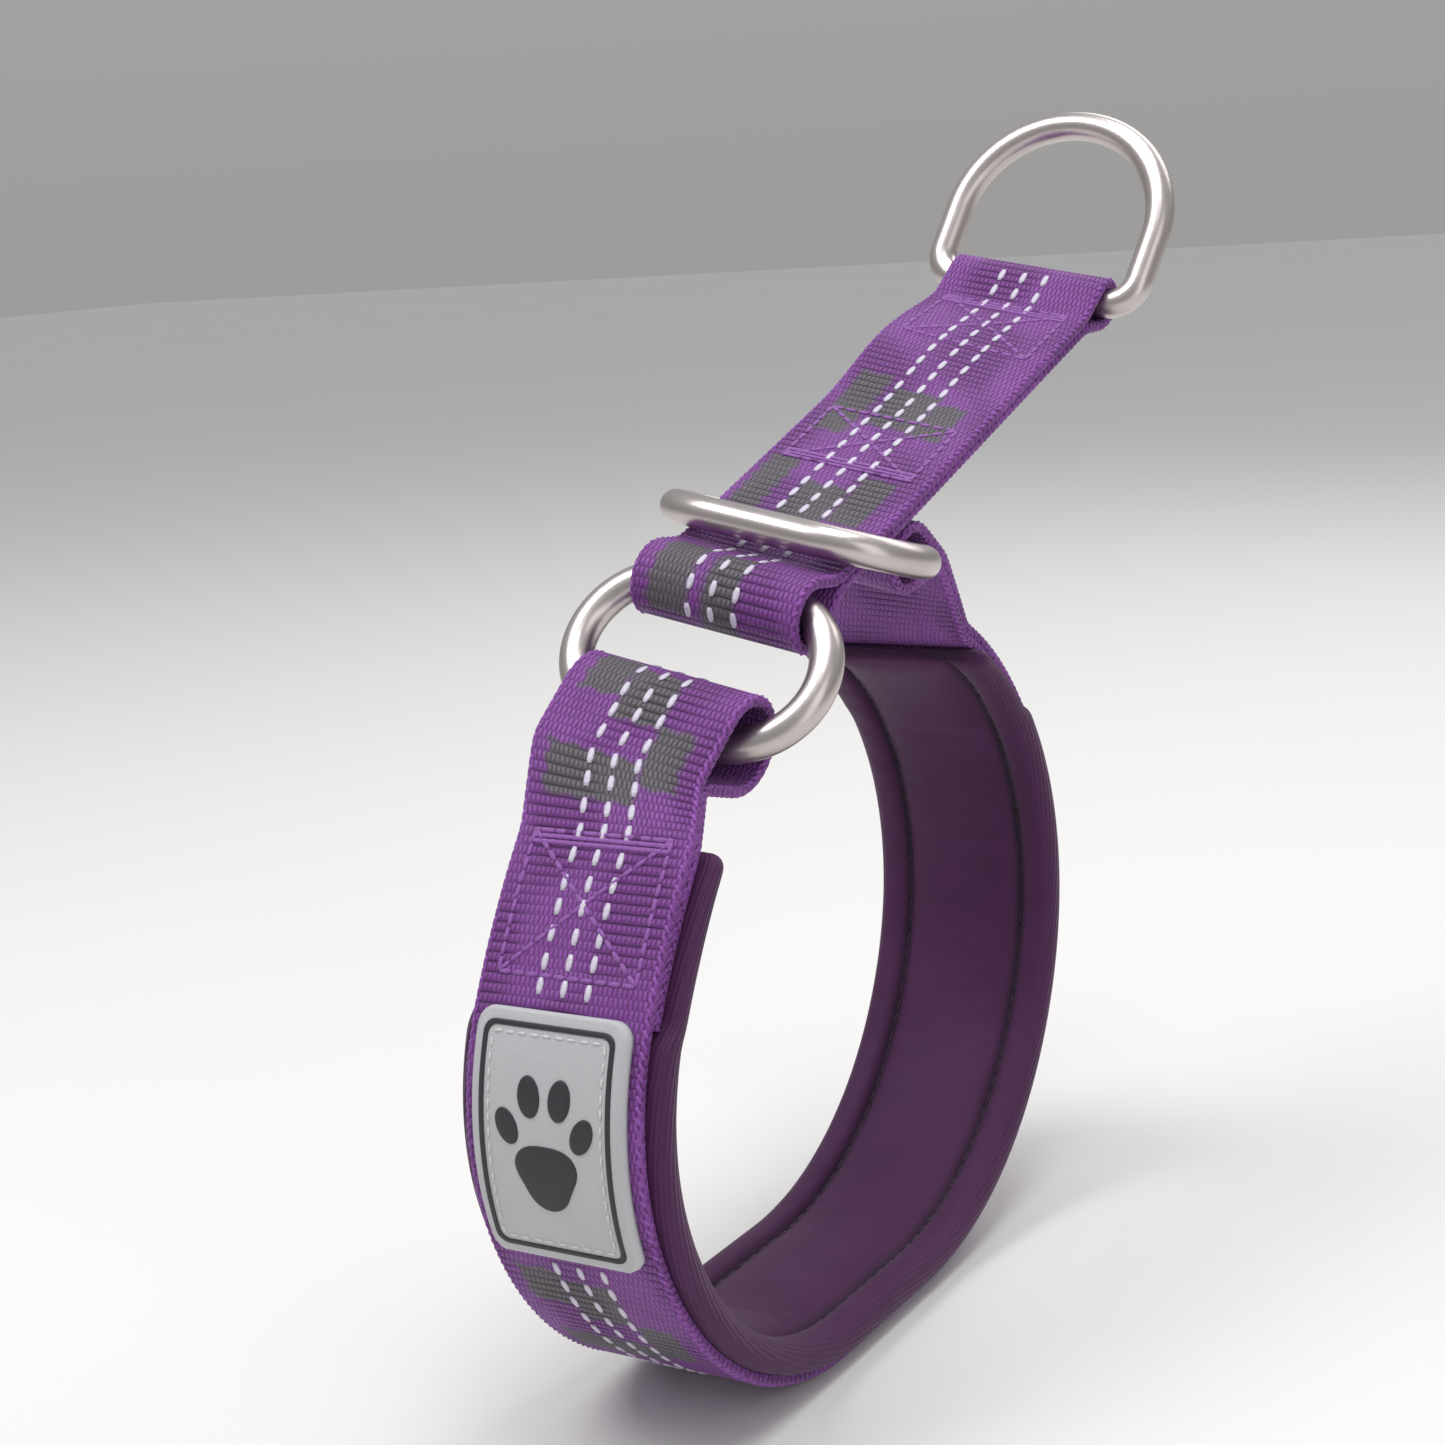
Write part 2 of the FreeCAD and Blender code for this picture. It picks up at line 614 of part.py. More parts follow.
def build_stitching():
    """Box stitches, and the reflective threads that run up to them."""
    front_box = loop_box_stitch(FRONT, FRONT_BOX_LENGTH)
    rear_box = loop_box_stitch(BACK, BACK_BOX_LENGTH)
    strap_front_box = strap_box_stitch(REAR_RING_CENTRE.y + RING_BAR + STRAP_BOX_FRONT_MARGIN)
    strap_back_box = strap_box_stitch(STRAP_LENGTH - EYE_TAPER - STRAP_BOX_BACK_MARGIN - STRAP_BOX_LENGTH)
    export(front_box, "front_box_stitch")
    export(rear_box, "rear_box_stitch")
    export(strap_front_box, "strap_front_stitch")
    export(strap_back_box, "strap_back_stitch")

    patch_stop = PATCH_START + PATCH_LENGTH
    front_spans = [(FRONT.lift_off(THREAD_HEIGHT) + THREAD_MARGIN, PATCH_START - THREAD_MARGIN),
                   (patch_stop + THREAD_MARGIN, FRONT.length)]
    back_spans = [(BACK.lift_off(THREAD_HEIGHT) + THREAD_MARGIN, BACK.length)]
    export(loop_threads(FRONT, front_spans, front_box), "reflective_threads_front")
    export(loop_threads(BACK, back_spans, rear_box), "reflective_threads_back")
    export(strap_threads(strap_front_box.fuse(strap_back_box)), "reflective_threads_strap")


os.makedirs("parts", exist_ok=True)
build_loop()
build_strap_and_rings()
build_patch()
build_stitching()
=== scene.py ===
"""Looks of a limited-slip martingale collar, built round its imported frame.

Metres, in the frame's own axes: X across the webbing, -Y towards the patch, +Y towards the nape, Z up.
The neck loop is measured by q along its outer face: 0 at the middle of the flat it stands on, negative
up the front half and positive up the back half. Depth goes inwards from that face.
"""

import json
import logging
import math
from dataclasses import dataclass, field
from enum import Enum

import bmesh
import bpy
import numpy as np
from mathutils import Matrix, Vector


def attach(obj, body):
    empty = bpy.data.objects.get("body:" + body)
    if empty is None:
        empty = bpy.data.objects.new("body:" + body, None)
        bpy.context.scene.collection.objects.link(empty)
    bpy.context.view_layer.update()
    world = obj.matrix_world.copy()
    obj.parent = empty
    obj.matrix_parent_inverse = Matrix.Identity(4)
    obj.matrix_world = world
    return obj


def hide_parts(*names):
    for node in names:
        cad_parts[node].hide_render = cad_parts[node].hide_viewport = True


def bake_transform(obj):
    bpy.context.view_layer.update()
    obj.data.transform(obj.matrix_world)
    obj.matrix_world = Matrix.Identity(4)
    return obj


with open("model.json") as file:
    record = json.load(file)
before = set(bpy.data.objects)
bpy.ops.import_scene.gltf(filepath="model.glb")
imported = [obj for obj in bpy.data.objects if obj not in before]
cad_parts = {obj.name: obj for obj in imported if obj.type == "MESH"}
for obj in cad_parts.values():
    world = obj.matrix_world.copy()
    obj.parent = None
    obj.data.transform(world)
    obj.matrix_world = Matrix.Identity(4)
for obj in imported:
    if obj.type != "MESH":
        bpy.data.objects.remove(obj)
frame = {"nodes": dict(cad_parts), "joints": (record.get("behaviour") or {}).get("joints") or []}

LOG = logging.getLogger("collar")
MM = 0.001
NUDGE = 0.1 * MM                       # a short way along or off a surface, to find a direction
Amount = np.ndarray | float            # one value, or one for each place
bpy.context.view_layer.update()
JOINTS = {joint["name"]: joint for joint in frame["joints"]}


# ---- stock --------------------------------------------------------------------------------
@dataclass(frozen=True)
class WebbingStock:
    """Woven strap stock and the reflective threads in it."""

    width: float = 22.5 * MM
    thick: float = 1.3 * MM
    step: float = 0.275 * MM           # spacing of the mesh along the strap
    bend_softness: float = 2.0 * MM    # how far a change of direction is spread
    rib_pitch: float = 1.1 * MM
    rib_height: float = 0.13 * MM
    selvedge_knot: float = 0.1 * MM
    loop_inset: float = 0.42 * MM      # yarn loops that bind the edges
    loop_size: tuple[float, float, float] = (1.3 * MM, 0.5 * MM, 0.62 * MM)
    thread_spacing: float = 3.1 * MM
    dash_pitch: float = 2.9 * MM
    dash_size: tuple[float, float, float] = (2.25 * MM, 0.9 * MM, 0.3 * MM)


WEB = WebbingStock()


# ---- the neck loop's outer face -----------------------------------------------------------
@dataclass
class NeckLoop:
    """Side profile of the loop: a flat and tangent arcs on each half, as (radius in mm, degrees)."""

    flat: float = 9.0 * MM
    front_arcs: tuple = ((41.0, 74.0), (33.0, 43.0), (96.0, 12.5))
    back_arcs: tuple = ((46.5, 72.0), (40.0, 54.0), (45.0, 27.0))
    halves: dict[int, list] = field(init=False)
    front_end: float = field(init=False)
    back_end: float = field(init=False)

    def __post_init__(self) -> None:
        """Works out where each arc starts and where both halves end."""
        self.halves = {-1: self._pieces(self.front_arcs), 1: self._pieces(self.back_arcs)}
        self.front_end = -self.halves[-1][-1][1]
        self.back_end = self.halves[1][-1][1]

    def _pieces(self, arcs: tuple) -> list:
        """Start, stop, radius, start place and heading of each arc.

        Args:
            arcs: Radius in millimetres and sweep in degrees of each arc, bottom to top.

        Returns:
            One tuple per arc.
        """
        y, z, heading, run = self.flat, 0.0, 0.0, self.flat
        found = []
        for radius_mm, degrees in arcs:
            radius = radius_mm * MM
            sweep = math.radians(degrees)
            found.append((run, run + radius * sweep, radius, y, z, heading))
            y += radius * (math.sin(heading + sweep) - math.sin(heading))
            z += radius * (math.cos(heading) - math.cos(heading + sweep))
            heading += sweep
            run += radius * sweep
        return found

    def heading(self, q: Amount) -> np.ndarray:
        """Angle of the outer face above the ground, on each half's own side.

        Args:
            q: Along the outer face.

        Returns:
            One angle per q, in radians.
        """
        q = np.atleast_1d(np.asarray(q, float))
        angle = np.zeros_like(q)
        for side, pieces in self.halves.items():
            for start, _, radius, _, _, heading in pieces:
                on = q * side > start
                angle[on] = heading + (q[on] * side - start) / radius
        return angle

    def outward(self, q: Amount) -> np.ndarray:
        """Unit vectors out of the loop.

        Args:
            q: Along the outer face.

        Returns:
            One row of three per q.
        """
        q = np.atleast_1d(np.asarray(q, float))
        angle = self.heading(q)
        side = np.where(q < 0, -1.0, 1.0)
        return np.stack([np.zeros_like(q), side * np.sin(angle), -np.cos(angle)], axis=-1)

    def point(self, q: Amount, depth: Amount = 0.0, x: Amount = 0.0) -> np.ndarray:
        """Places on the loop.

        Args:
            q: Along the outer face.
            depth: Inwards from that face.
            x: Across the webbing.

        Returns:
            One row of three per q.
        """
        q, depth, x = np.broadcast_arrays(np.atleast_1d(np.asarray(q, float)), depth, x)
        y = np.array(q, float)
        z = np.zeros_like(y)
        for side, pieces in self.halves.items():
            for start, _, radius, y0, z0, heading in pieces:
                on = q * side > start
                turn = heading + (q[on] * side - start) / radius
                y[on] = side * (y0 + radius * (np.sin(turn) - math.sin(heading)))
                z[on] = z0 + radius * (math.cos(heading) - np.cos(turn))
        place = np.stack([np.array(x, float), y, z], axis=-1)
        return place - self.outward(q) * np.asarray(depth, float)[:, None]


LOOP = NeckLoop()


# ---- the strap's frame --------------------------------------------------------------------
@dataclass
class StrapFrame:
    """Axes of the control strap, from the joints: across, along to the D-ring, and up off its face."""

    origin: np.ndarray = field(init=False)
    across: np.ndarray = field(init=False)
    along: np.ndarray = field(init=False)
    normal: np.ndarray = field(init=False)
    dring: np.ndarray = field(init=False)
    rear_bar: np.ndarray = field(init=False)

    def __post_init__(self) -> None:
        """Reads the joints' places and axes."""
        self.origin = np.array(JOINTS["front_ring_tilt"]["pos_m"], float)
        self.across = np.array(JOINTS["front_ring_tilt"]["axis"], float)
        self.along = -np.array(JOINTS["strap_slip"]["axis"], float)
        self.normal = np.cross(self.across, self.along)
        self.dring = self.side(JOINTS["leash_ring_swing"]["pos_m"])
        self.rear_bar = self.side(JOINTS["rear_ring_rock"]["pos_m"])

    def side(self, place: list) -> np.ndarray:
        """The (along, up) of a place in the frame."""
        offset = np.array(place, float) - self.origin
        return np.array([offset @ self.along, offset @ self.normal])

    def point(self, x: Amount, y: Amount, z: Amount) -> np.ndarray:
        """Places from across, along and up."""
        x, y, z = (np.asarray(value, float)[..., None] for value in np.broadcast_arrays(x, y, z))
        return self.origin + x * self.across + y * self.along + z * self.normal


STRAP = StrapFrame()


def direction(degrees: float) -> np.ndarray:
    """Unit (along, up) vector at an angle above the strap's along axis."""
    return np.array([math.cos(math.radians(degrees)), math.sin(math.radians(degrees))])


class Eye(Enum):
    """The four folded ends of webbing, by strap and by end."""

    NECK_FRONT = "front of the neck webbing"
    NECK_BACK = "back of the neck webbing"
    STRAP_FRONT = "front of the control strap"
    STRAP_BACK = "back of the control strap"


@dataclass(frozen=True)
class Fold:
    """Webbing folded round a ring's bar, in the strap's side plane."""

    centre: np.ndarray
    radius: float
    leg_degrees: float
    taper: float
    sink: float

    def line(self, thick: float, count: int = 28) -> np.ndarray:
        """Middle line of the fold, from its first layer round the bar to its second.

        Args:
            thick: Thickness of the webbing.
            count: Points round the bar.

        Returns:
            Rows of (along, up).
        """
        leg = direction(self.leg_degrees)
        normal = direction(self.leg_degrees + 90.0)
        middle = self.centre + leg * self.taper + normal * self.sink
        ends = [middle + normal * thick / 2, middle - normal * thick / 2]
        radius = self.radius + thick / 2
        away = self.centre - middle
        crown = math.atan2(away[1], away[0])
        turns = []
        for end, side in zip(ends, (1, -1)):
            reach = end - self.centre
            angle = math.atan2(reach[1], reach[0]) + side * math.acos(radius / np.linalg.norm(reach))
            turns.append((angle - crown + math.pi) % (2 * math.pi) - math.pi)
        angles = crown + np.linspace(turns[0], turns[1], count)
        arc = self.centre + radius * np.stack([np.cos(angles), np.sin(angles)], axis=-1)
        return np.vstack([ends[0], arc, ends[1]])


@dataclass(frozen=True)
class RingEyes:
    """Eyes of folded webbing, closed round the bars of the rings. Angles are above the strap."""

    ring_wire: float = 4.0 * MM
    ring_height: float = 15.0 * MM     # inside, from bar to bar
    side_room: float = 2.5 * MM        # beside the webbing, inside the ring
    dring_wire: float = 3.8 * MM
    clearance: float = 0.3 * MM
    front_play: float = 1.3 * MM       # more room, in which the front ring turns
    front_lean: float = 25.0           # degrees
    rear_lean: float = -36.79
    front_leg: float = 202.5           # the way that the neck webbing leaves each ring
    rear_leg: float = -57.0
    strap_taper: float = 6.0 * MM      # from the bar to where both layers meet
    front_taper: float = 3.445 * MM
    rear_taper: float = 8.0 * MM

    def folds(self) -> dict[Eye, Fold]:
        """Works out the four folds from the rings' sizes and the joints' places.

        Returns:
            Each eye's fold.
        """
        half = self.ring_height / 2
        beyond = half - self.side_room
        rise = half - math.sqrt(half ** 2 - beyond ** 2)
        bar = (self.ring_height + self.ring_wire) / 2
        snug = self.ring_wire / 2 + rise / 2 + self.clearance
        loose = snug + self.front_play
        upper = direction(self.front_lean) * (-rise / 2)
        lower = direction(self.front_lean) * (rise / 2 - 2 * bar)
        rear = STRAP.rear_bar - direction(self.rear_lean) * rise / 2
        around_dring = self.dring_wire / 2 + self.clearance
        return {
            Eye.STRAP_FRONT: Fold(upper, snug, 0.0, self.strap_taper, -upper[1]),
            Eye.STRAP_BACK: Fold(STRAP.dring, around_dring, 180.0, self.strap_taper, 0.0),
            Eye.NECK_FRONT: Fold(lower, loose, self.front_leg, loose + self.front_taper, -loose),
            Eye.NECK_BACK: Fold(rear, snug, self.rear_leg, self.rear_taper, snug),
        }


FOLDS = RingEyes().folds()


# ---- lines along a strap ------------------------------------------------------------------
def smoothed(rows: np.ndarray, width: int, closed: bool) -> np.ndarray:
    """Averages rows with their neighbours under a bell curve.

    Args:
        rows: One row per place.
        width: How many rows the curve reaches to each side.
        closed: Whether the last row is next to the first.

    Returns:
        As many rows, smoothed.
    """
    offsets = np.arange(-width, width + 1)
    weights = np.exp(-2.0 * (offsets / width) ** 2)
    weights /= weights.sum()
    padded = np.pad(rows, ((width, width), (0, 0)), mode="wrap" if closed else "edge")
    columns = [np.convolve(column, weights, mode="valid") for column in padded.T]
    return np.stack(columns, axis=-1)


def unit(rows: np.ndarray) -> np.ndarray:
    """Rows scaled to length one."""
    return rows / np.linalg.norm(rows, axis=-1, keepdims=True)


class StrapLine:
    """Middle line of a strap, at even steps, with its across and face directions."""

    def __init__(self, points: np.ndarray, across: np.ndarray, step: float, face: int,
                 closed: bool) -> None:
        """Smooths and resamples the line.

        Args:
            points: Places along the middle line.
            across: Direction across the strap at each place.
            step: Spacing of the result.
            face: +1 or -1, which side of the line is the printed face.
            closed: Whether the strap is a closed loop.
        """
        if closed:
            points = np.vstack([points, points[:1]])
            across = np.vstack([across, across[:1]])
        run = np.concatenate([[0.0], np.cumsum(np.linalg.norm(np.diff(points, axis=0), axis=1))])
        count = int(round(run[-1] / step))
        even = np.linspace(0.0, run[-1], count + 1)
        both = np.hstack([points, across])
        rows = np.stack([np.interp(even, run, both[:, k]) for k in range(6)], axis=-1)
        rows = rows[:-1] if closed else rows
        rows = smoothed(rows, max(int(WEB.bend_softness / step), 1), closed)
        self.closed = closed
        self.places = rows[:, :3]
        self.across = unit(rows[:, 3:])
        if closed:
            tangents = np.roll(self.places, -1, axis=0) - np.roll(self.places, 1, axis=0)
        else:
            tangents = np.gradient(self.places, axis=0)
        self.tangents = unit(tangents)
        self.normals = unit(np.cross(self.across, self.tangents) * face)
        self.run = np.arange(len(rows)) * (run[-1] / count)

    def at(self, run: Amount, u: Amount, rise: Amount) -> np.ndarray:
        """Places on the strap.

        Args:
            run: Along the line.
            u: Across it.
            rise: Off the middle line, towards the printed face.

        Returns:
            One row of three per place.
        """
        run, u, rise = np.broadcast_arrays(np.atleast_1d(np.asarray(run, float)), u, rise)
        rows = np.hstack([self.places, self.across, self.normals])
        found = np.stack([np.interp(run, self.run, rows[:, k]) for k in range(9)], axis=-1)
        return found[:, :3] + found[:, 3:6] * u[:, None] + found[:, 6:] * rise[:, None]

    def nearest(self, place: np.ndarray) -> float:
        """How far along the line its nearest point to a place is."""
        return float(self.run[np.argmin(np.linalg.norm(self.places - place, axis=1))])


# ---- meshes -------------------------------------------------------------------------------
class MeshPiece:
    """Vertices, faces and point values that become one object."""

    def __init__(self) -> None:
        """Starts empty."""
        self.places: list[np.ndarray] = []
        self.faces: list[tuple] = []
        self.values: dict[str, list[np.ndarray]] = {}
        self.count = 0

    def add(self, places: np.ndarray, faces: list, **values: np.ndarray) -> None:
        """Adds vertices with their faces and point values.

        Args:
            places: Rows of three.
            faces: Tuples of indices into these places.
            **values: One number, or a row of three, per place.
        """
        self.places.append(places)
        self.faces += [tuple(index + self.count for index in face) for face in faces]
        for key, value in values.items():
            self.values.setdefault(key, []).append(np.asarray(value, float))
        self.count += len(places)

    def build(self, name: str) -> bpy.types.Object:
        """Makes the object, shaded smooth and facing outwards.

        Args:
            name: The piece's name.

        Returns:
            The object.
        """
        mesh = bpy.data.meshes.new(name)
        mesh.from_pydata(np.vstack(self.places).tolist(), [], self.faces)
        for key, parts in self.values.items():
            value = np.concatenate(parts)
            kind, content = ("FLOAT_VECTOR", "vector") if value.ndim == 2 else ("FLOAT", "value")
            made = mesh.attributes.new(key, kind, "POINT")
            made.data.foreach_set(content, value.astype(np.float32).ravel())
        shell = bmesh.new()
        shell.from_mesh(mesh)
        bmesh.ops.recalc_face_normals(shell, faces=shell.faces)
        shell.to_mesh(mesh)
        shell.free()
        mesh.polygons.foreach_set("use_smooth", [True] * len(mesh.polygons))
        piece = bpy.data.objects.new(name, mesh)
        bpy.context.scene.collection.objects.link(piece)
        return piece


def tube_faces(rows: int, columns: int, closed: bool) -> list:
    """Faces of a grid whose columns go all the way round, with capped ends if it is open.

    Args:
        rows: Rings of vertices.
        columns: Vertices in each ring.
        closed: Whether the last ring joins the first.

    Returns:
        Tuples of indices.
    """
    faces = []
    for i in range(rows if closed else rows - 1):
        a, b = i * columns, (i + 1) % rows * columns
        for j in range(columns):
            k = (j + 1) % columns
            faces.append((a + j, a + k, b + k, b + j))
    if not closed:
        faces.append(tuple(range(columns)))
        faces.append(tuple(reversed(range((rows - 1) * columns, rows * columns))))
    return faces


def bead_template(rings: int = 5, around: int = 6) -> tuple[np.ndarray, list]:
    """A ball with half sizes of one.

    Args:
        rings: Steps from end to end.
        around: Vertices in each ring.

    Returns:
        Places and faces.
    """
    places = []
    for i in range(1, rings):
        polar = math.pi * i / rings
        for j in range(around):
            turn = 2 * math.pi * j / around
            wide = math.sin(polar)
            places.append((math.cos(polar), wide * math.cos(turn), wide * math.sin(turn)))
    return np.array(places), tube_faces(rings - 1, around, False)


def add_dashes(piece: MeshPiece, places: np.ndarray, along: np.ndarray, up: np.ndarray,
               size: tuple[float, float, float]) -> None:
    """Adds one stitch-like bead per place.

    Args:
        piece: What they are added to.
        places: Middles of the beads.
        along: Direction of each bead's length.
        up: Direction off the surface.
        size: Length, width and height.
    """
    template, faces = bead_template()
    along = unit(along)
    side = unit(np.cross(up, along))
    off = np.cross(along, side)
    for place, a, b, c in zip(places, along, side, off):
        shape = template[:, :1] * a * size[0] / 2 + template[:, 1:2] * b * size[1] / 2
        piece.add(place + shape + template[:, 2:] * c * size[2] / 2, faces)


def dashes_between(first: np.ndarray, last: np.ndarray, pitch: float) -> tuple[np.ndarray, np.ndarray]:
    """Stitches on a straight seam, in the seam's own plane.

    Args:
        first: One end of the seam.
        last: Its other end.
        pitch: From stitch to stitch.

    Returns:
        Middles and directions.
    """
    length = float(np.linalg.norm(last - first))
    count = max(int(length / pitch), 1)
    share = (np.arange(count) + 0.5) / count
    middles = first + (last - first) * share[:, None]
    return middles, np.repeat((last - first)[None] / length, count, axis=0)


# ---- woven pattern ------------------------------------------------------------------------
PATTERN_WIDTH = 0.9                    # share that the pattern takes of its width on broader stock


@dataclass(frozen=True)
class Block:
    """A grey block woven into the strap: across and along, in metres."""

    left: float
    right: float
    start: float
    stop: float


def block(left: float, right: float, start: float, stop: float) -> Block:
    """A block from millimetres."""
    return Block(left * PATTERN_WIDTH * MM, right * PATTERN_WIDTH * MM, start * MM, stop * MM)


BONE = (block(-9.6, -3.6, 1.0, 7.0), block(-3.6, 3.6, 2.5, 9.5), block(3.8, 9.2, 9.0, 17.0),
        block(-9.8, 3.6, 14.0, 19.6))
BONE_STARTS = (0.0, 72.0 * MM, 109.0 * MM, 146.0 * MM, 183.0 * MM, 220.0 * MM)
STRAP_BLOCKS = (block(-9.6, -3.6, -1.0, 9.5), block(-1.6, 3.4, -4.0, 8.0), block(-11.0, -6.5, 21.5, 33.0),
                block(-3.4, 3.6, 20.5, 29.0), block(3.8, 8.8, 22.0, 32.0), block(-10.2, -5.0, 40.0, 53.5),
                block(-3.4, 3.8, 43.0, 51.5), block(3.8, 8.6, 42.0, 50.0))


def grey_share(u: np.ndarray, run: np.ndarray, blocks: tuple[Block, ...]) -> np.ndarray:
    """How much of the weave is grey, with edges that follow the floats.

    Args:
        u: Across the strap.
        run: Along the woven pattern.
        blocks: The grey blocks.

    Returns:
        0 to 1 per place.
    """
    soft_edge, wander = 0.45 * MM, 0.3 * MM
    total = np.zeros_like(u)
    wobble = wander * np.sin(run / (0.35 * MM)) * np.sin(u / (0.5 * MM))
    for part in blocks:
        across = np.minimum(u - part.left, part.right - u) + wobble
        along = np.minimum(run - part.start, part.stop - run) + wobble
        inside = np.clip(np.minimum(across, along) / soft_edge + 0.5, 0.0, 1.0)
        total = np.maximum(total, inside)
    return total


def relief_share(u: np.ndarray, run: np.ndarray) -> np.ndarray:
    """How deep the ribs are: the weave has smoother fields between the ribbed ones.

    Args:
        u: Across the strap.
        run: Along the woven pattern.

    Returns:
        A share of the full depth per place.
    """
    across, along = u / MM, run / MM
    bands = np.sin(0.33 * across + 0.8 * np.sin(0.13 * along))
    fields = bands * np.sin(0.21 * along + 0.1 * across + 0.7)
    return 0.64 + 0.36 * np.tanh(3.0 * fields)


# ---- webbing ------------------------------------------------------------------------------
@dataclass(frozen=True)
class Ribbon:
    """A strap with round edges and woven ribs along a line."""

    line: StrapLine
    zero: float                        # where the woven pattern starts, along the line
    blocks: tuple
    top_columns: int = 36
    under_columns: int = 12

    def ring(self) -> tuple[np.ndarray, np.ndarray, np.ndarray]:
        """Points round the strap's section.

        Returns:
            Across, rise off the middle, and facing (1 on the printed face, -1 under it).
        """
        radius = WEB.thick / 2
        half = WEB.width / 2 - radius
        top = np.linspace(-half, half, self.top_columns)
        under = np.linspace(half, -half, self.under_columns)
        bend = np.radians(np.array([60.0, 30.0, 0.0, -30.0, -60.0]))
        u = np.concatenate([top, half + radius * np.cos(bend), under, -half - radius * np.cos(bend)])
        rise = np.concatenate([np.full(len(top), radius), radius * np.sin(bend),
                               np.full(len(under), -radius), -radius * np.sin(bend)])
        facing = np.concatenate([np.ones(len(top)), np.sin(bend), -np.ones(len(under)), -np.sin(bend)])
        return u, rise, facing

    def build(self, name: str, bow: "StrapBow | None" = None) -> bpy.types.Object:
        """Makes the strap.

        Args:
            name: The piece's name.
            bow: How the strap curls off its line, if it does.

        Returns:
            The object.
        """
        ring_u, ring_rise, facing = self.ring()
        rows, columns = len(self.line.places), len(ring_u)
        run = np.repeat(self.line.run, columns)
        u = np.tile(ring_u, rows)
        rise = np.tile(ring_rise, rows)
        face = np.tile(facing, rows)
        relief = relief_share(u, run - self.zero)
        rib = np.abs(np.sin(np.pi * (run - self.zero) / WEB.rib_pitch)) ** 0.7 - 1.0
        knot = np.sin(2 * np.pi * run / WEB.rib_pitch) * (1 - np.abs(face))
        rise = rise + face * rib * relief * WEB.rib_height
        across = u + np.sign(u) * knot * WEB.selvedge_knot
        places = self.line.at(run, across, rise)
        if bow is not None:
            places = bow.applied(places)
        weave = np.stack([u / MM, (run - self.zero) / MM, relief], axis=-1)
        grey = grey_share(u, run - self.zero, self.blocks)
        piece = MeshPiece()
        piece.add(places, tube_faces(rows, columns, self.line.closed), weave=weave, grey=grey)
        self.add_selvedge(piece, bow)
        return piece.build(name)

    def add_selvedge(self, piece: MeshPiece, bow: "StrapBow | None") -> None:
        """Adds the slanted loops of yarn that bind both edges.

        Args:
            piece: The strap's mesh.
            bow: How the strap curls off its line, if it does.
        """
        run = np.arange(WEB.rib_pitch, self.line.run[-1] - WEB.rib_pitch, WEB.rib_pitch)
        ahead_by, out_by, down_by = 0.42 * MM, 0.16 * MM, 0.2 * MM
        for side in (-1, 1):
            edge = side * (WEB.width / 2 - WEB.loop_inset)
            for face in (-1, 1):
                rise = face * (WEB.thick / 2 - 0.26 * MM)
                middle = self.line.at(run, edge, rise)
                ahead = self.line.at(run + ahead_by, edge + side * out_by, rise - face * down_by)
                above = self.line.at(run, edge + side * MM, rise + face * MM)
                if bow is not None:
                    middle, ahead, above = (bow.applied(p) for p in (middle, ahead, above))
                before = piece.count
                add_dashes(piece, middle, ahead - middle, above - middle, WEB.loop_size)
                made = piece.count - before
                beads = np.repeat(run - self.zero, made // len(run))
                weave = np.stack([np.full(made, edge / MM), beads / MM, np.full(made, -1.0)], axis=-1)
                piece.values["weave"].append(weave)
                piece.values["grey"].append(np.zeros(made))

    def threads(self, name: str, spans: tuple[tuple[float, float], ...],
                bow: "StrapBow | None" = None) -> bpy.types.Object:
        """Makes the reflective dashes along the printed face.

        Args:
            name: The piece's name.
            spans: Stretches of the woven pattern that show them.
            bow: How the strap curls off its line, if it does.

        Returns:
            The object.
        """
        piece = MeshPiece()
        proud, stray, turn = 0.02 * MM, 0.15 * MM, 2.4
        for number, u in enumerate((-WEB.thread_spacing, 0.0, WEB.thread_spacing)):
            runs = []
            for start, stop in spans:
                first = math.ceil(start / WEB.dash_pitch) * WEB.dash_pitch
                runs += list(np.arange(first, stop, WEB.dash_pitch))
            uneven = stray * np.sin(np.arange(len(runs)) * turn + number)
            run = np.array(runs) + self.zero + uneven
            top = WEB.thick / 2 + proud
            ahead = self.line.at(run + NUDGE, u, top)
            behind = self.line.at(run - NUDGE, u, top)
            above = self.line.at(run, u, top + NUDGE)
            middle = (ahead + behind) / 2
            if bow is not None:
                ahead, behind, above, middle = (bow.applied(p) for p in (ahead, behind, above, middle))
            add_dashes(piece, middle, ahead - behind, above - middle, WEB.dash_size)
        return piece.build(name)


@dataclass(frozen=True)
class StrapBow:
    """The free stretch of the control strap curls up along one side, as soft webbing does."""

    start: float = 38.0 * MM
    stop: float = 71.0 * MM
    height: float = 1.7 * MM

    def applied(self, places: np.ndarray) -> np.ndarray:
        """Lifts places off the strap's plane.

        Args:
            places: Rows of three on the flat strap.

        Returns:
            The same places on the curled strap.
        """
        offset = places - STRAP.origin
        share = np.clip((offset @ STRAP.along - self.start) / (self.stop - self.start), 0.0, 1.0)
        side = 0.5 - (offset @ STRAP.across) / WEB.width
        lift = self.height * np.sin(np.pi * share) ** 2 * np.clip(side, 0.0, 1.0)
        return places + lift[:, None] * STRAP.normal


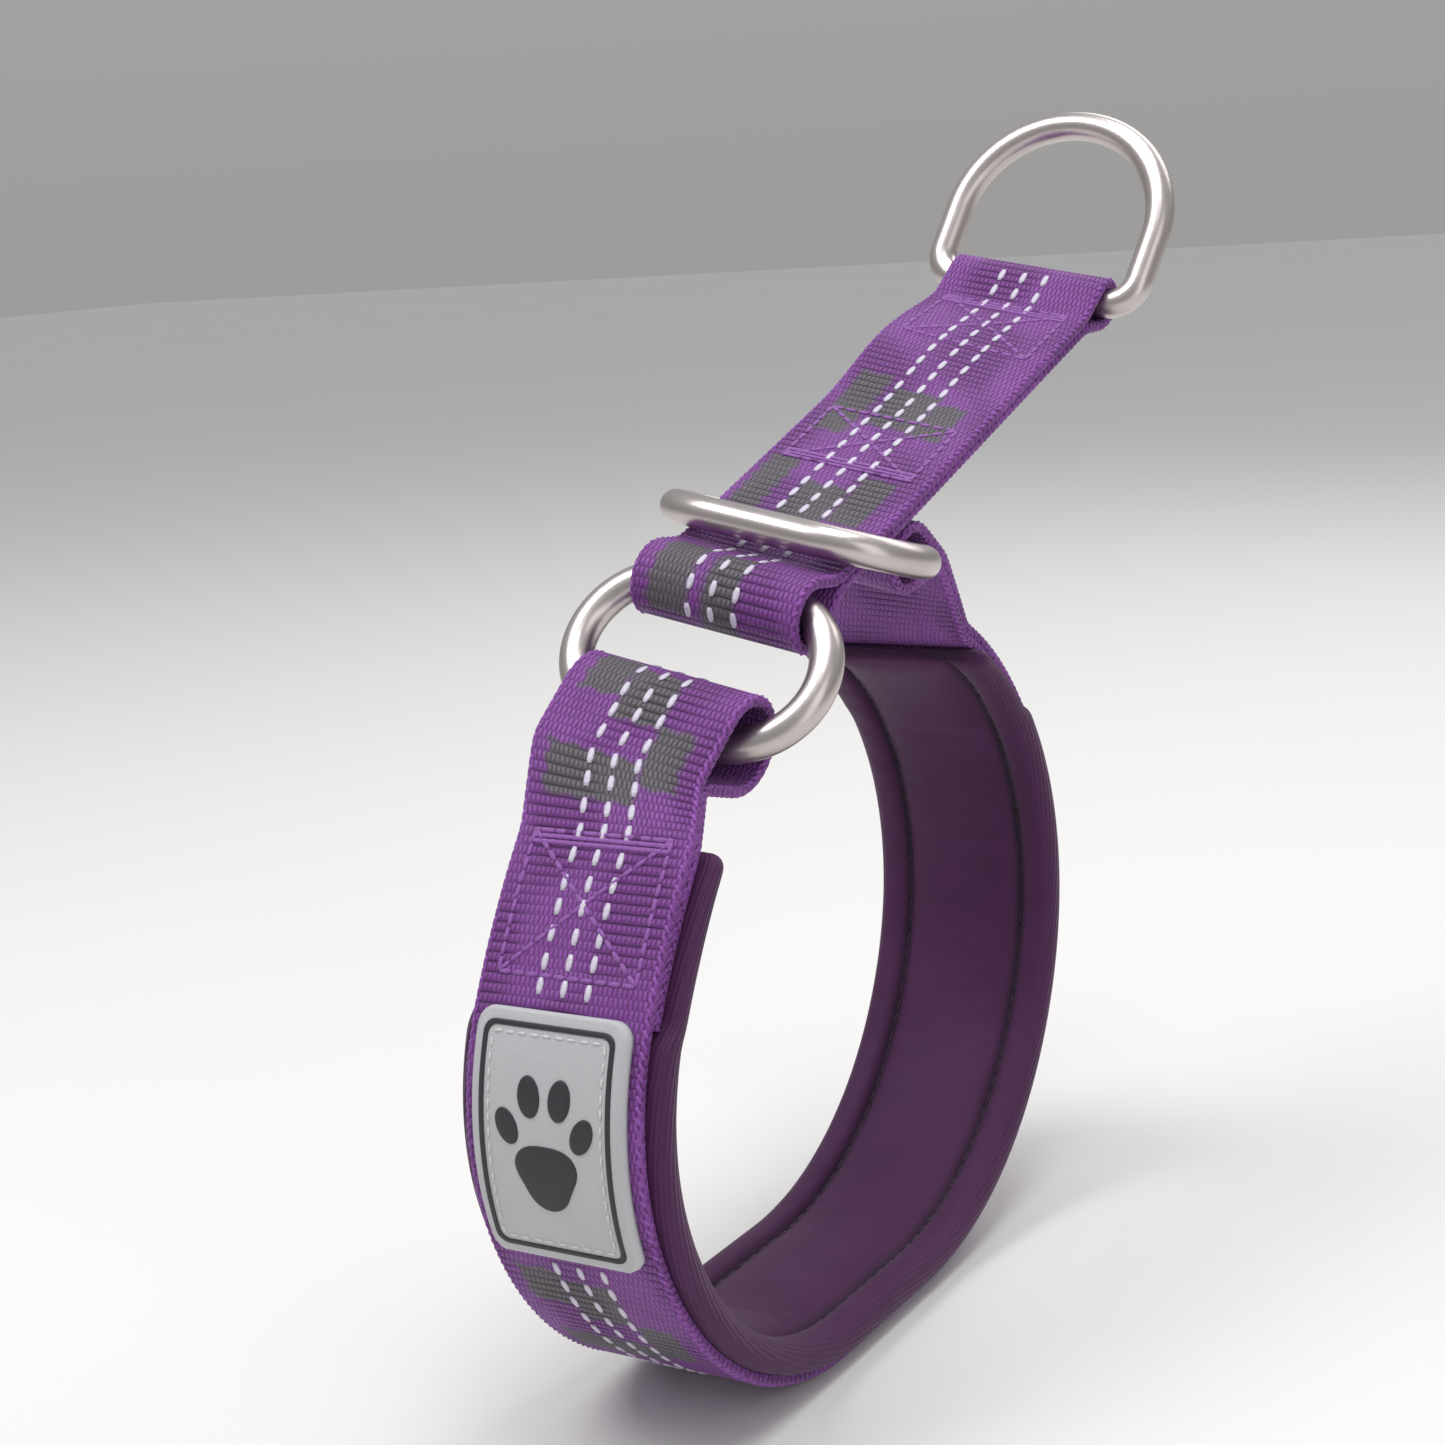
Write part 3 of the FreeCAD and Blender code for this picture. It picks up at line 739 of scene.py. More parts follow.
@dataclass
class NeckWebbing:
    """Outer strap of the neck loop, folded back at both ends."""

    patch: "LabelPatch"
    front_fold: float = 22.0 * MM      # how far each folded-back end reaches
    back_fold: float = 20.0 * MM
    point_pitch: float = 1.0 * MM
    pattern_shift: float = 2.2 * MM    # from the top of the front eye
    thread_lead: float = 4.0 * MM
    thread_tail: float = 14.0 * MM
    flat_room: float = 3.0 * MM        # no threads under the flat and this far beyond it
    line: StrapLine = field(init=False)
    zero: float = field(init=False)

    def __post_init__(self) -> None:
        """Lays out the strap's line and where its pattern starts."""
        self.line = self._line()
        eye = FOLDS[Eye.NECK_FRONT]
        away = -direction(eye.leg_degrees) * eye.radius
        top = STRAP.point(0.0, eye.centre[0] + away[0], eye.centre[1] + away[1])
        self.zero = self.line.nearest(top) + self.pattern_shift

    def _line(self) -> StrapLine:
        """Inner fold, front eye, outer layer, back eye and inner fold, in order.

        Returns:
            The strap's middle line.
        """
        half, step = WEB.thick / 2, self.point_pitch
        front, back = LOOP.front_end, LOOP.back_end
        parts = [LOOP.point(np.arange(front + self.front_fold, front + step, -step), 3 * half),
                 self._eye(Eye.NECK_FRONT),
                 LOOP.point(np.arange(front + step, back - step, step), half),
                 self._eye(Eye.NECK_BACK),
                 LOOP.point(np.arange(back - step, back - self.back_fold, -step), 3 * half)]
        across = []
        for part, on_ring in zip(parts, (False, True, False, True, False)):
            across.append(np.tile(STRAP.across if on_ring else (1.0, 0.0, 0.0), (len(part), 1)))
        return StrapLine(np.vstack(parts), np.vstack(across), WEB.step, -1, False)

    def _eye(self, eye: Eye) -> np.ndarray:
        """An eye's middle line in the frame."""
        flat = FOLDS[eye].line(WEB.thick)
        return STRAP.point(0.0, flat[:, 0], flat[:, 1])

    def run_of(self, q: float) -> float:
        """Where a place on the outer layer is in the woven pattern."""
        return self.line.nearest(LOOP.point(q, WEB.thick / 2)[0]) - self.zero

    def build(self, finishes: "Finishes") -> None:
        """Makes the strap and its threads.

        Args:
            finishes: The collar's materials.
        """
        blocks = (Block(b.left, b.right, b.start + s, b.stop + s) for s in BONE_STARTS for b in BONE)
        ribbon = Ribbon(self.line, self.zero, tuple(blocks))
        strap = ribbon.build("neck_webbing")
        dress(strap, finishes.webbing, "webbing", "webbing_front", "webbing_back")
        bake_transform(strap)
        lift = LOOP.flat + self.flat_room
        spans = ((-self.thread_lead, self.run_of(-self.patch.start - self.patch.length)),
                 (self.run_of(-self.patch.start), self.run_of(-lift)),
                 (self.run_of(lift), self.run_of(LOOP.back_end) + self.thread_tail))
        threads = ribbon.threads("neck_threads", spans)
        dress(threads, finishes.reflective, "reflective_thread", "reflective_threads_front",
              "reflective_threads_back")
        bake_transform(threads)


@dataclass
class ControlStrap:
    """Double strap between the front ring and the D-ring, one closed loop of webbing."""

    bow: StrapBow
    point_pitch: float = 1.0 * MM
    thread_lead: float = 2.0 * MM
    thread_tail: float = 9.0 * MM      # past the middle of the D-ring's bar
    lead_rows: int = 20                # the mesh starts this far from the front fold's middle

    def _outline(self) -> np.ndarray:
        """Middle line of the strap in its side plane.

        Returns:
            Rows of (along, up), starting under the strap.
        """
        half = WEB.thick / 2
        front = FOLDS[Eye.STRAP_FRONT].line(WEB.thick)[::-1]
        back = FOLDS[Eye.STRAP_BACK].line(WEB.thick)[::-1]
        upper = np.arange(front[-1, 0] + self.point_pitch, back[0, 0], self.point_pitch)
        level = np.full(len(upper), half)
        flat = np.vstack([front, np.stack([upper, level], axis=-1), back,
                          np.stack([upper[::-1], -level], axis=-1)])
        return np.roll(flat, self.lead_rows - len(front) // 2, axis=0)

    def build(self, finishes: "Finishes") -> None:
        """Makes the strap and its threads.

        Args:
            finishes: The collar's materials.
        """
        flat = self._outline()
        points = STRAP.point(0.0, flat[:, 0], flat[:, 1])
        line = StrapLine(points, np.tile(STRAP.across, (len(points), 1)), WEB.step, 1, True)
        crown = flat[np.argmin(flat[:, 0])]
        ribbon = Ribbon(line, line.nearest(STRAP.point(0.0, crown[0], crown[1])), STRAP_BLOCKS)
        strap = ribbon.build("control_strap", self.bow)
        dress(strap, finishes.webbing, "webbing", "control_strap_upper", "control_strap_lower")
        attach(strap, "control_strap")
        span = (-self.thread_lead, STRAP.dring[0] + self.thread_tail)
        threads = ribbon.threads("strap_threads", (span,), self.bow)
        dress(threads, finishes.reflective, "reflective_thread", "reflective_threads_strap")
        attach(threads, "control_strap")


# ---- padding ------------------------------------------------------------------------------
@dataclass
class Padding:
    """Soft padding inside the loop: two side rolls and a middle panel between stitched grooves."""

    webbing: NeckWebbing
    step: float = 1.4 * MM
    half_width: float = 13.25 * MM
    outer_depth: float = 1.36 * MM
    inner_depth: float = 5.3 * MM
    fold_depth: float = 2.66 * MM      # where it lies on the folded-back webbing
    fold_ramp: float = 3.0 * MM
    groove_x: float = 8.4 * MM
    groove_depth: float = 1.0 * MM
    groove_half: float = 0.5 * MM
    end_radius: float = 1.7 * MM
    front_setback: float = 1.0 * MM
    back_setback: float = 3.0 * MM
    side_round: float = 2.2 * MM       # the outer face leaves the webbing this far from the side
    panel_half: float = 4.4 * MM
    puff: float = 0.55 * MM            # most that the fabric swells between its seams
    knit_depth: float = 4.0 * MM       # what the knit's pattern takes the sides' height for
    seam_setback: float = 4.0 * MM
    seam_pitch: float = 2.6 * MM
    seam_size: tuple[float, float, float] = (2.2 * MM, 0.4 * MM, 0.3 * MM)
    rim: tuple = ((1.0, 0.02), (0.3, 0.12), (0.05, 0.3), (0.0, 0.46), (0.08, 0.62), (0.35, 0.8),
                  (0.95, 0.94), (1.7, 1.0))      # mm in from the side, share of the depth

    def section(self) -> dict[str, np.ndarray]:
        """Points round the section.

        Returns:
            x, share (0 at the webbing, 1 at the inner face), dip (groove depth), rim and pinned masks.
        """
        flat = self.half_width - self.side_round
        rows = [(x, 0.0, 0.0, 0.0, 1.0) for x in np.linspace(-flat, flat, 13)]
        rims = [(self.half_width - x * MM, share, 0.0, 1.0 - share ** 6, 1.0 if share < 0.1 else 0.0)
                for x, share in self.rim]
        offsets = np.array([-2.2, -1.5, -0.95, -0.5, -0.22, 0.0, 0.22, 0.5, 0.95, 1.6, 2.6]) * MM
        right = list(self.groove_x - offsets)
        inner = right + list(np.linspace(self.panel_half, -self.panel_half, 8)) + [-x for x in right[::-1]]
        rows += rims
        for x in inner:
            dip = math.exp(-(((abs(x) - self.groove_x) / self.groove_half) ** 2))
            rows.append((x, 1.0, dip, 0.0, 1.0 if dip > 0.5 else 0.0))
        rows += [(-row[0], *row[1:]) for row in reversed(rims)]
        return dict(zip(("x", "share", "dip", "rim", "pinned"), np.array(rows).T))

    def build(self, finishes: "Finishes") -> None:
        """Makes the padding and the thread in its grooves.

        Args:
            finishes: The collar's materials.
        """
        start = LOOP.front_end + self.front_setback
        stop = LOOP.back_end - self.back_setback
        pad = self._form(start, stop)
        Inflation(pad, self.puff).run()
        modifier = pad.modifiers.new("smooth", "SUBSURF")
        modifier.levels = modifier.render_levels = 1
        apply_modifiers(pad)
        dress(pad, finishes.padding, "foam_cover", "foam_core_front", "foam_core_back", "lining_front",
              "lining_back", "edge_binding_front", "edge_binding_back")
        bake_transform(pad)
        thread = self._groove_thread(start + self.seam_setback, stop - self.seam_setback)
        dress(thread, finishes.dark_thread, "seam_thread", "groove_seams_front", "groove_seams_back")
        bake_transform(thread)

    def _form(self, start: float, stop: float) -> bpy.types.Object:
        """The padding before it swells, with round ends.

        Args:
            start: Its front end along the loop.
            stop: Its back end.

        Returns:
            The object.
        """
        ring = self.section()
        radius = self.end_radius
        bend = np.radians(np.array([90.0, 68.0, 45.0, 22.0]))
        body = np.linspace(start + radius, stop - radius, int((stop - start) / self.step))
        q = np.concatenate([start + radius - radius * np.sin(bend), body,
                            stop - radius + radius * np.sin(bend[::-1])])
        inset = np.concatenate([radius - radius * np.cos(bend), np.zeros(len(body)),
                                radius - radius * np.cos(bend[::-1])])
        rows, columns = len(q), len(ring["x"])
        along = np.repeat(q, columns)
        tuck = np.repeat(inset, columns)
        values = {key: np.tile(value, rows) for key, value in ring.items()}
        x = values["x"] * (1 - tuck / self.half_width)
        outer = self._outer_depth(along)
        depth = outer + (self.inner_depth - outer) * values["share"]
        middle = (outer + self.inner_depth) / 2
        depth = middle + (depth - middle) * (1 - tuck / (self.inner_depth - outer))
        ripple = np.sin(along / (3.1 * MM) + np.sign(values["x"])) * np.sin(along / (1.3 * MM))
        depth = depth - values["dip"] * self.groove_depth * (1.0 + 0.12 * ripple) * (1 - tuck / radius)
        places = LOOP.point(along, depth, x)
        pinned = np.maximum(values["pinned"], (tuck > 0).astype(float))
        strides = np.hypot(np.diff(ring["x"]), np.diff(ring["share"]) * self.knit_depth)
        edge = np.concatenate([[0.0], np.cumsum(strides)])
        weave = np.stack([np.tile(edge, rows) / MM, along / MM, values["rim"]], axis=-1)
        piece = MeshPiece()
        piece.add(places, tube_faces(rows, columns, False), weave=weave, groove=values["dip"],
                  pinned=pinned)
        return piece.build("neck_padding")

    def _outer_depth(self, q: np.ndarray) -> np.ndarray:
        """Where the outer face is: deeper over the folded-back webbing.

        Args:
            q: Along the loop.

        Returns:
            One depth per q.
        """
        half_ramp = self.fold_ramp / 2
        front = (LOOP.front_end + self.webbing.front_fold + half_ramp - q) / self.fold_ramp
        back = (q - LOOP.back_end + self.webbing.back_fold + half_ramp) / self.fold_ramp
        share = np.clip(np.maximum(front, back), 0.0, 1.0)
        return self.outer_depth + (self.fold_depth - self.outer_depth) * share * share * (3 - 2 * share)

    def _groove_thread(self, start: float, stop: float) -> bpy.types.Object:
        """The sewing thread at the bottom of both grooves.

        Args:
            start: Its front end along the loop.
            stop: Its back end.

        Returns:
            The object.
        """
        piece = MeshPiece()
        q = np.arange(start, stop, self.seam_pitch)
        depth = self.inner_depth - self.groove_depth + 0.05 * MM
        for side in (-1, 1):
            places = LOOP.point(q, depth, side * self.groove_x)
            ahead = LOOP.point(q + NUDGE, depth, side * self.groove_x)
            add_dashes(piece, places, ahead - places, -LOOP.outward(q), self.seam_size)
        return piece.build("groove_thread")


@dataclass(frozen=True)
class Inflation:
    """Swells the fabric between its pinned seams with a cloth simulation, and caps how far it moves."""

    pad: bpy.types.Object
    most: float
    enlarge: float = 20.0              # cloth behaves best at furniture size
    frames: int = 20
    pressure: float = 4.0
    quality: int = 6

    def run(self) -> None:
        """Simulates an enlarged copy and brings its shape back."""
        mesh = self.pad.data
        count = len(mesh.vertices)
        rest = np.empty(count * 3, np.float32)
        mesh.vertices.foreach_get("co", rest)
        rest = rest.reshape(-1, 3)
        pinned = np.empty(count, np.float32)
        mesh.attributes["pinned"].data.foreach_get("value", pinned)
        copy = bpy.data.objects.new("padding_cloth", mesh.copy())
        bpy.context.scene.collection.objects.link(copy)
        copy.data.transform(Matrix.Scale(self.enlarge, 4))
        group = copy.vertex_groups.new(name="pinned")
        group.add([int(i) for i in np.flatnonzero(pinned > 0.5)], 1.0, "REPLACE")
        modifier = copy.modifiers.new("inflate", "CLOTH")
        settings = modifier.settings
        settings.quality = self.quality
        settings.use_pressure = True
        settings.uniform_pressure_force = self.pressure
        settings.vertex_group_mass = "pinned"
        settings.effector_weights.gravity = 0.0
        scene = bpy.context.scene
        for number in range(1, self.frames + 1):
            scene.frame_set(number)
        shaped = copy.evaluated_get(bpy.context.evaluated_depsgraph_get()).to_mesh()
        moved = np.empty(count * 3, np.float32)
        shaped.vertices.foreach_get("co", moved)
        shift = moved.reshape(-1, 3) / self.enlarge - rest
        length = np.linalg.norm(shift, axis=1, keepdims=True)
        LOG.info("cloth moved up to %.3f mm before its cap", float(length.max()) / MM)
        shift *= self.most * np.tanh(length / self.most) / np.maximum(length, 1e-9)
        mesh.vertices.foreach_set("co", (rest + shift).astype(np.float32).ravel())
        mesh.update()
        bpy.data.objects.remove(copy)
        scene.frame_set(1)


def apply_modifiers(piece: bpy.types.Object) -> None:
    """Replaces the piece's mesh with the one its modifiers give.

    Args:
        piece: What is changed.
    """
    made = bpy.data.meshes.new_from_object(piece.evaluated_get(bpy.context.evaluated_depsgraph_get()))
    piece.modifiers.clear()
    piece.data = made


# ---- label patch --------------------------------------------------------------------------
@dataclass
class LabelPatch:
    """Reflective label with a printed border, a paw print and sewn dashes."""

    start: float = 59.0 * MM           # up the front of the loop
    length: float = 27.5 * MM
    half_width: float = 9.75 * MM
    thick: float = 1.2 * MM
    corner: float = 2.2 * MM
    edge: float = 0.45 * MM            # how far in its edge is round
    edge_share: float = 0.45           # of the thickness, straight up at the edge
    border_inset: float = 1.4 * MM
    border_width: float = 0.62 * MM
    print_height: float = 0.16 * MM
    stitch_inset: float = 2.6 * MM
    stitch_count: int = 46
    stitch_size: tuple[float, float, float] = (1.25 * MM, 0.34 * MM, 0.24 * MM)

    def at(self, x: Amount, up: Amount, rise: Amount) -> np.ndarray:
        """Places on the patch.

        Args:
            x: Across it, from its middle.
            up: Up it, from its middle.
            rise: Off the webbing.

        Returns:
            One row of three per place.
        """
        x, up, rise = np.broadcast_arrays(np.atleast_1d(np.asarray(x, float)), up, rise)
        middle = self.start + self.length / 2
        return LOOP.point(-(middle + up), -np.asarray(rise, float), x)

    def build(self, finishes: "Finishes") -> None:
        """Makes the patch's pieces, which all ride on the front half.

        Args:
            finishes: The collar's materials.
        """
        made = ((self._sheet(), finishes.patch, "patch", "label_patch"),
                (self._border(), finishes.patch_print, "patch_print", "patch_border"),
                (self._paw(), finishes.patch_print, "patch_print", "paw_emblem"),
                (self._stitches(), finishes.patch_thread, "patch_thread", "patch_stitching"))
        for piece, material, slot, node in made:
            dress(piece, material, slot, node)
            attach(piece, "collar_front")

    def _half_at(self, up: float) -> float:
        """Half width of the rounded outline at a height.

        Args:
            up: Up the patch, from its middle.

        Returns:
            From the middle to the side.
        """
        over = min(max(abs(up) - (self.length / 2 - self.corner), 0.0), self.corner)
        return self.half_width - self.corner + math.sqrt(max(self.corner ** 2 - over ** 2, 0.0))

    def _sheet(self) -> bpy.types.Object:
        """The patch itself, with soft edges.

        Returns:
            The object.
        """
        half = self.length / 2
        share = np.linspace(-1.0, 1.0, 30)
        rows = []
        for height in half * np.sin(np.linspace(-np.pi / 2, np.pi / 2, 61)):
            width = self._half_at(height)
            end = min(1.0, (half - abs(height)) / self.edge)
            cap = math.sqrt(max(1 - (1 - end) ** 2, 0.0))
            side = np.clip((1 - np.abs(share)) * width / self.edge, 0.0, 1.0)
            lip = np.sqrt(1 - (1 - side) ** 2)
            crown = self.thick * (self.edge_share + (1 - self.edge_share) * np.minimum(lip, cap))
            top = self.at(share * width, height, crown)
            foot = self.at(share[::-1] * width, height, 0.02 * MM)
            rows.append(np.vstack([top, foot]))
        piece = MeshPiece()
        piece.add(np.vstack(rows), tube_faces(len(rows), len(share) * 2, False))
        return piece.build("label_sheet")

    def _outline(self, inset: float, count: int = 160) -> np.ndarray:
        """Rounded rectangle on the patch.

        Args:
            inset: How far inside the patch's own outline.
            count: How many points.

        Returns:
            Rows of (x, up), evenly spaced.
        """
        half_x, half_up = self.half_width - inset, self.length / 2 - inset
        corner = max(self.corner - inset * 0.6, 0.6 * MM)
        points = []
        for index, (sx, sy) in enumerate(((1, 1), (-1, 1), (-1, -1), (1, -1))):
            for angle in np.linspace(0, np.pi / 2, 9) + index * np.pi / 2:
                points.append((sx * (half_x - corner) + corner * math.cos(angle),
                               sy * (half_up - corner) + corner * math.sin(angle)))
        points = np.array(points + points[:1])
        run = np.concatenate([[0.0], np.cumsum(np.linalg.norm(np.diff(points, axis=0), axis=1))])
        even = np.linspace(0.0, run[-1], count, endpoint=False)
        return np.stack([np.interp(even, run, points[:, k]) for k in range(2)], axis=-1)

    def _border(self) -> bpy.types.Object:
        """The printed line round the patch.

        Returns:
            The object.
        """
        inner = self._outline(self.border_inset + self.border_width)
        outer = self._outline(self.border_inset)
        profile = ((0.0, -0.5), (0.04, 0.7), (0.2, 1.0), (0.8, 1.0), (0.96, 0.7), (1.0, -0.5))
        rows = [self.at(*(inner + (outer - inner) * share).T, self.thick + self.print_height * rise)
                for share, rise in profile]
        piece = MeshPiece()
        piece.add(np.stack(rows, axis=1).reshape(-1, 3), tube_faces(len(inner), len(profile), True))
        return piece.build("label_border")

    def _pad_shape(self, centre: tuple, size: tuple, tilt: float, lobes: float) -> tuple:
        """A low dome on the patch with a lobed or oval outline.

        Args:
            centre: Its middle, as (x, up).
            size: Its half sizes.
            tilt: How far it leans, in degrees.
            lobes: How much its outline waves.

        Returns:
            Places and faces.
        """
        turn = np.linspace(0, 2 * np.pi, 48, endpoint=False)
        reach = 1.0 + lobes * np.cos(3 * (turn + np.pi / 2)) - 0.5 * lobes * np.cos(2 * turn)
        x, y = size[0] * reach * np.cos(turn), size[1] * reach * np.sin(turn)
        lean = math.radians(tilt)
        x, y = x * math.cos(lean) - y * math.sin(lean), x * math.sin(lean) + y * math.cos(lean)
        rows = []
        for scale, rise in ((1.0, -0.5), (0.98, 0.7), (0.93, 1.0), (0.6, 1.15), (0.2, 1.2)):
            level = self.thick + self.print_height * rise
            rows.append(self.at(centre[0] + x * scale, centre[1] + y * scale, level))
        return np.vstack(rows), tube_faces(len(rows), len(turn), False)

    def _paw(self) -> bpy.types.Object:
        """A plain paw print: one pad and two pairs of toes.

        Returns:
            The object.
        """
        piece = MeshPiece()
        piece.add(*self._pad_shape((0.0, -3.2 * MM), (4.0 * MM, 3.4 * MM), 0.0, 0.11))
        toes = (((1.95 * MM, 4.9 * MM), (1.4 * MM, 2.2 * MM), 7.0),
                ((4.75 * MM, 1.6 * MM), (1.3 * MM, 2.0 * MM), 26.0))
        for side in (-1, 1):
            for (x, up), size, lean in toes:
                piece.add(*self._pad_shape((side * x, up), size, -side * lean, 0.0))
        return piece.build("label_paw")

    def _stitches(self) -> bpy.types.Object:
        """Sewn dashes inside the border.

        Returns:
            The object.
        """
        line = self._outline(self.stitch_inset, 480)
        index = np.arange(self.stitch_count) * len(line) // self.stitch_count
        (x, up), (next_x, next_up) = line[index].T, line[(index + 2) % len(line)].T
        rise = self.thick + 0.05 * MM
        middle = self.at(x, up, rise)
        along = self.at(next_x, next_up, rise) - middle
        off = self.at(x, up, rise + NUDGE) - middle
        piece = MeshPiece()
        add_dashes(piece, middle, along, off, self.stitch_size)
        return piece.build("label_stitches")


# ---- box stitching ------------------------------------------------------------------------
class Bar(Enum):
    """Which end of a box has the dense bar of stitches."""

    NEAR = "near"
    FAR = "far"


@dataclass
class BoxStitches:
    """Box and cross of sewn thread where layers of webbing are joined."""

    bow: StrapBow
    pitch: float = 1.6 * MM
    bar_pitch: float = 0.96 * MM
    bar_rows: tuple[float, float, float] = (0.0, 0.65 * MM, 1.3 * MM)
    size: tuple[float, float, float] = (1.75 * MM, 0.62 * MM, 0.34 * MM)
    half: float = 8.75 * MM
    front_start: float = 1.5 * MM      # from the front end of the loop
    front_length: float = 16.0 * MM
    rear_start: float = 15.5 * MM      # before the back end of the loop
    rear_length: float = 14.0 * MM
    strap_start: float = 3.9 * MM      # past the rear ring's bar
    leash_start: float = 19.0 * MM     # before the D-ring's bar
    strap_length: float = 12.0 * MM

    def seams(self, start: float, length: float, bar: Bar) -> tuple[np.ndarray, np.ndarray]:
        """Stitches of one box.

        Args:
            start: Where the box starts along the webbing.
            length: How long it is.
            bar: Its end with the dense bar.

        Returns:
            Middles and directions, as (across, along).
        """
        a, b = start, start + length
        corners = [np.array(p) for p in ((-self.half, a), (self.half, a), (self.half, b), (-self.half, b))]
        pairs = ((0, 1), (1, 2), (2, 3), (3, 0), (0, 2), (1, 3))
        found = [dashes_between(corners[i], corners[j], self.pitch) for i, j in pairs]
        for inset in self.bar_rows:
            level = b - inset if bar is Bar.FAR else a + inset
            ends = np.array((-self.half, level)), np.array((self.half, level))
            found.append(dashes_between(*ends, self.bar_pitch))
        return np.vstack([f[0] for f in found]), np.vstack([f[1] for f in found])

    def on_loop(self, name: str, start: float, length: float, bar: Bar) -> bpy.types.Object:
        """A box on the loop's outer face.

        Args:
            name: The piece's name.
            start: Where it starts along the loop.
            length: How long it is.
            bar: Its end with the dense bar.

        Returns:
            The object.
        """
        middles, along = self.seams(start, length, bar)
        nudge = middles + along * NUDGE
        places = LOOP.point(middles[:, 1], 0.0, middles[:, 0])
        ahead = LOOP.point(nudge[:, 1], 0.0, nudge[:, 0])
        piece = MeshPiece()
        add_dashes(piece, places, ahead - places, LOOP.outward(middles[:, 1]), self.size)
        return piece.build(name)

    def on_strap(self, name: str, start: float, bar: Bar) -> bpy.types.Object:
        """A box on the control strap's upper face.

        Args:
            name: The piece's name.
            start: Where it starts along the strap.
            bar: Its end with the dense bar.

        Returns:
            The object.
        """
        middles, along = self.seams(start, self.strap_length, bar)
        nudge = middles + along * NUDGE
        places = self.bow.applied(STRAP.point(middles[:, 0], middles[:, 1], WEB.thick))
        ahead = self.bow.applied(STRAP.point(nudge[:, 0], nudge[:, 1], WEB.thick))
        piece = MeshPiece()
        add_dashes(piece, places, ahead - places, np.tile(STRAP.normal, (len(places), 1)), self.size)
        return piece.build(name)

    def build(self, finishes: "Finishes") -> None:
        """Makes the four boxes.

        Args:
            finishes: The collar's materials.
        """
        front = self.on_loop("front_box", LOOP.front_end + self.front_start, self.front_length, Bar.NEAR)
        rear = self.on_loop("rear_box", LOOP.back_end - self.rear_start, self.rear_length, Bar.FAR)
        near = self.on_strap("strap_front_box", STRAP.rear_bar[0] + self.strap_start, Bar.NEAR)
        far = self.on_strap("strap_back_box", STRAP.dring[0] - self.leash_start, Bar.FAR)
        for piece, node, body in ((front, "front_box_stitch", "collar_front"),
                                  (rear, "rear_box_stitch", "collar_back"),
                                  (near, "strap_front_stitch", "control_strap"),
                                  (far, "strap_back_stitch", "control_strap")):
            dress(piece, finishes.stitching, "stitching", node)
            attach(piece, body)


@dataclass(frozen=True)
class Hardware:
    """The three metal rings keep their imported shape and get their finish."""

    rings: tuple[str, ...] = ("front_ring", "rear_ring", "leash_d_ring")

    def build(self, finishes: "Finishes") -> None:
        """Dresses the rings.

        Args:
            finishes: The collar's materials.
        """
        for name in self.rings:
            ring = frame["nodes"][name]
            ring.data.materials.clear()
            ring.data.materials.append(finishes.metal)
            ring.data.polygons.foreach_set("use_smooth", [True] * len(ring.data.polygons))
            LOG.info("%s: %d vertices", name, len(ring.data.vertices))


def dress(piece: bpy.types.Object, material: bpy.types.Material, slot: str, *nodes: str) -> None:
    """Gives a piece its material and hides the nodes of the frame that it replaces.

    Args:
        piece: What is dressed.
        material: Its material.
        slot: Its slot's name; not used.
        *nodes: Nodes of the frame that it replaces.
    """
    piece.data.materials.clear()
    piece.data.materials.append(material)
    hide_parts(*nodes)
    LOG.info("%s: %d vertices", piece.name, len(piece.data.vertices))


# ---- materials ----------------------------------------------------------------------------
class Tree:
    """Short hand for building one node tree."""

    def __init__(self, tree: bpy.types.NodeTree) -> None:
        """Keeps the tree."""
        self.tree = tree

    def add(self, kind: str, inputs: dict | None = None, **settings: object) -> bpy.types.Node:
        """Adds a node.

        Args:
            kind: The node's type name, without its ShaderNode prefix.
            inputs: Value or socket for each input, by name or number.
            **settings: The node's own properties.

        Returns:
            The node.
        """
        made = self.tree.nodes.new("ShaderNode" + kind)
        for key, value in settings.items():
            setattr(made, key, value)
        for key, value in (inputs or {}).items():
            if isinstance(value, bpy.types.NodeSocket):
                self.tree.links.new(value, made.inputs[key])
            else:
                made.inputs[key].default_value = value
        return made

    def math(self, operation: str, a: object, b: object = 0.0) -> bpy.types.NodeSocket:
        """One step of arithmetic."""
        return self.add("Math", {0: a, 1: b}, operation=operation).outputs[0]

    def blend(self, share: object, a: object, b: object) -> bpy.types.NodeSocket:
        """A colour between two."""
        made = self.add("Mix", {0: share, 6: a, 7: b}, data_type="RGBA")
        return made.outputs[2]

    def noise(self, where: object, scale: object, detail: float = 2.0) -> bpy.types.NodeSocket:
        """Noise over a surface, about 0 to 1."""
        return self.add("TexNoise", {"Vector": where, "Scale": scale, "Detail": detail}).outputs["Fac"]

    def value(self, name: str, kind: str) -> bpy.types.NodeSocket:
        """Reads a value that the mesh holds: a Vector, or a number as Fac."""
        return self.add("Attribute", attribute_name=name).outputs[kind]

    def place(self) -> bpy.types.NodeSocket:
        """Places in the piece's own space, in metres."""
        return self.add("TexCoord").outputs["Object"]

    def join(self, source: bpy.types.NodeSocket, target: bpy.types.NodeSocket) -> None:
        """Links two sockets."""
        self.tree.links.new(source, target)


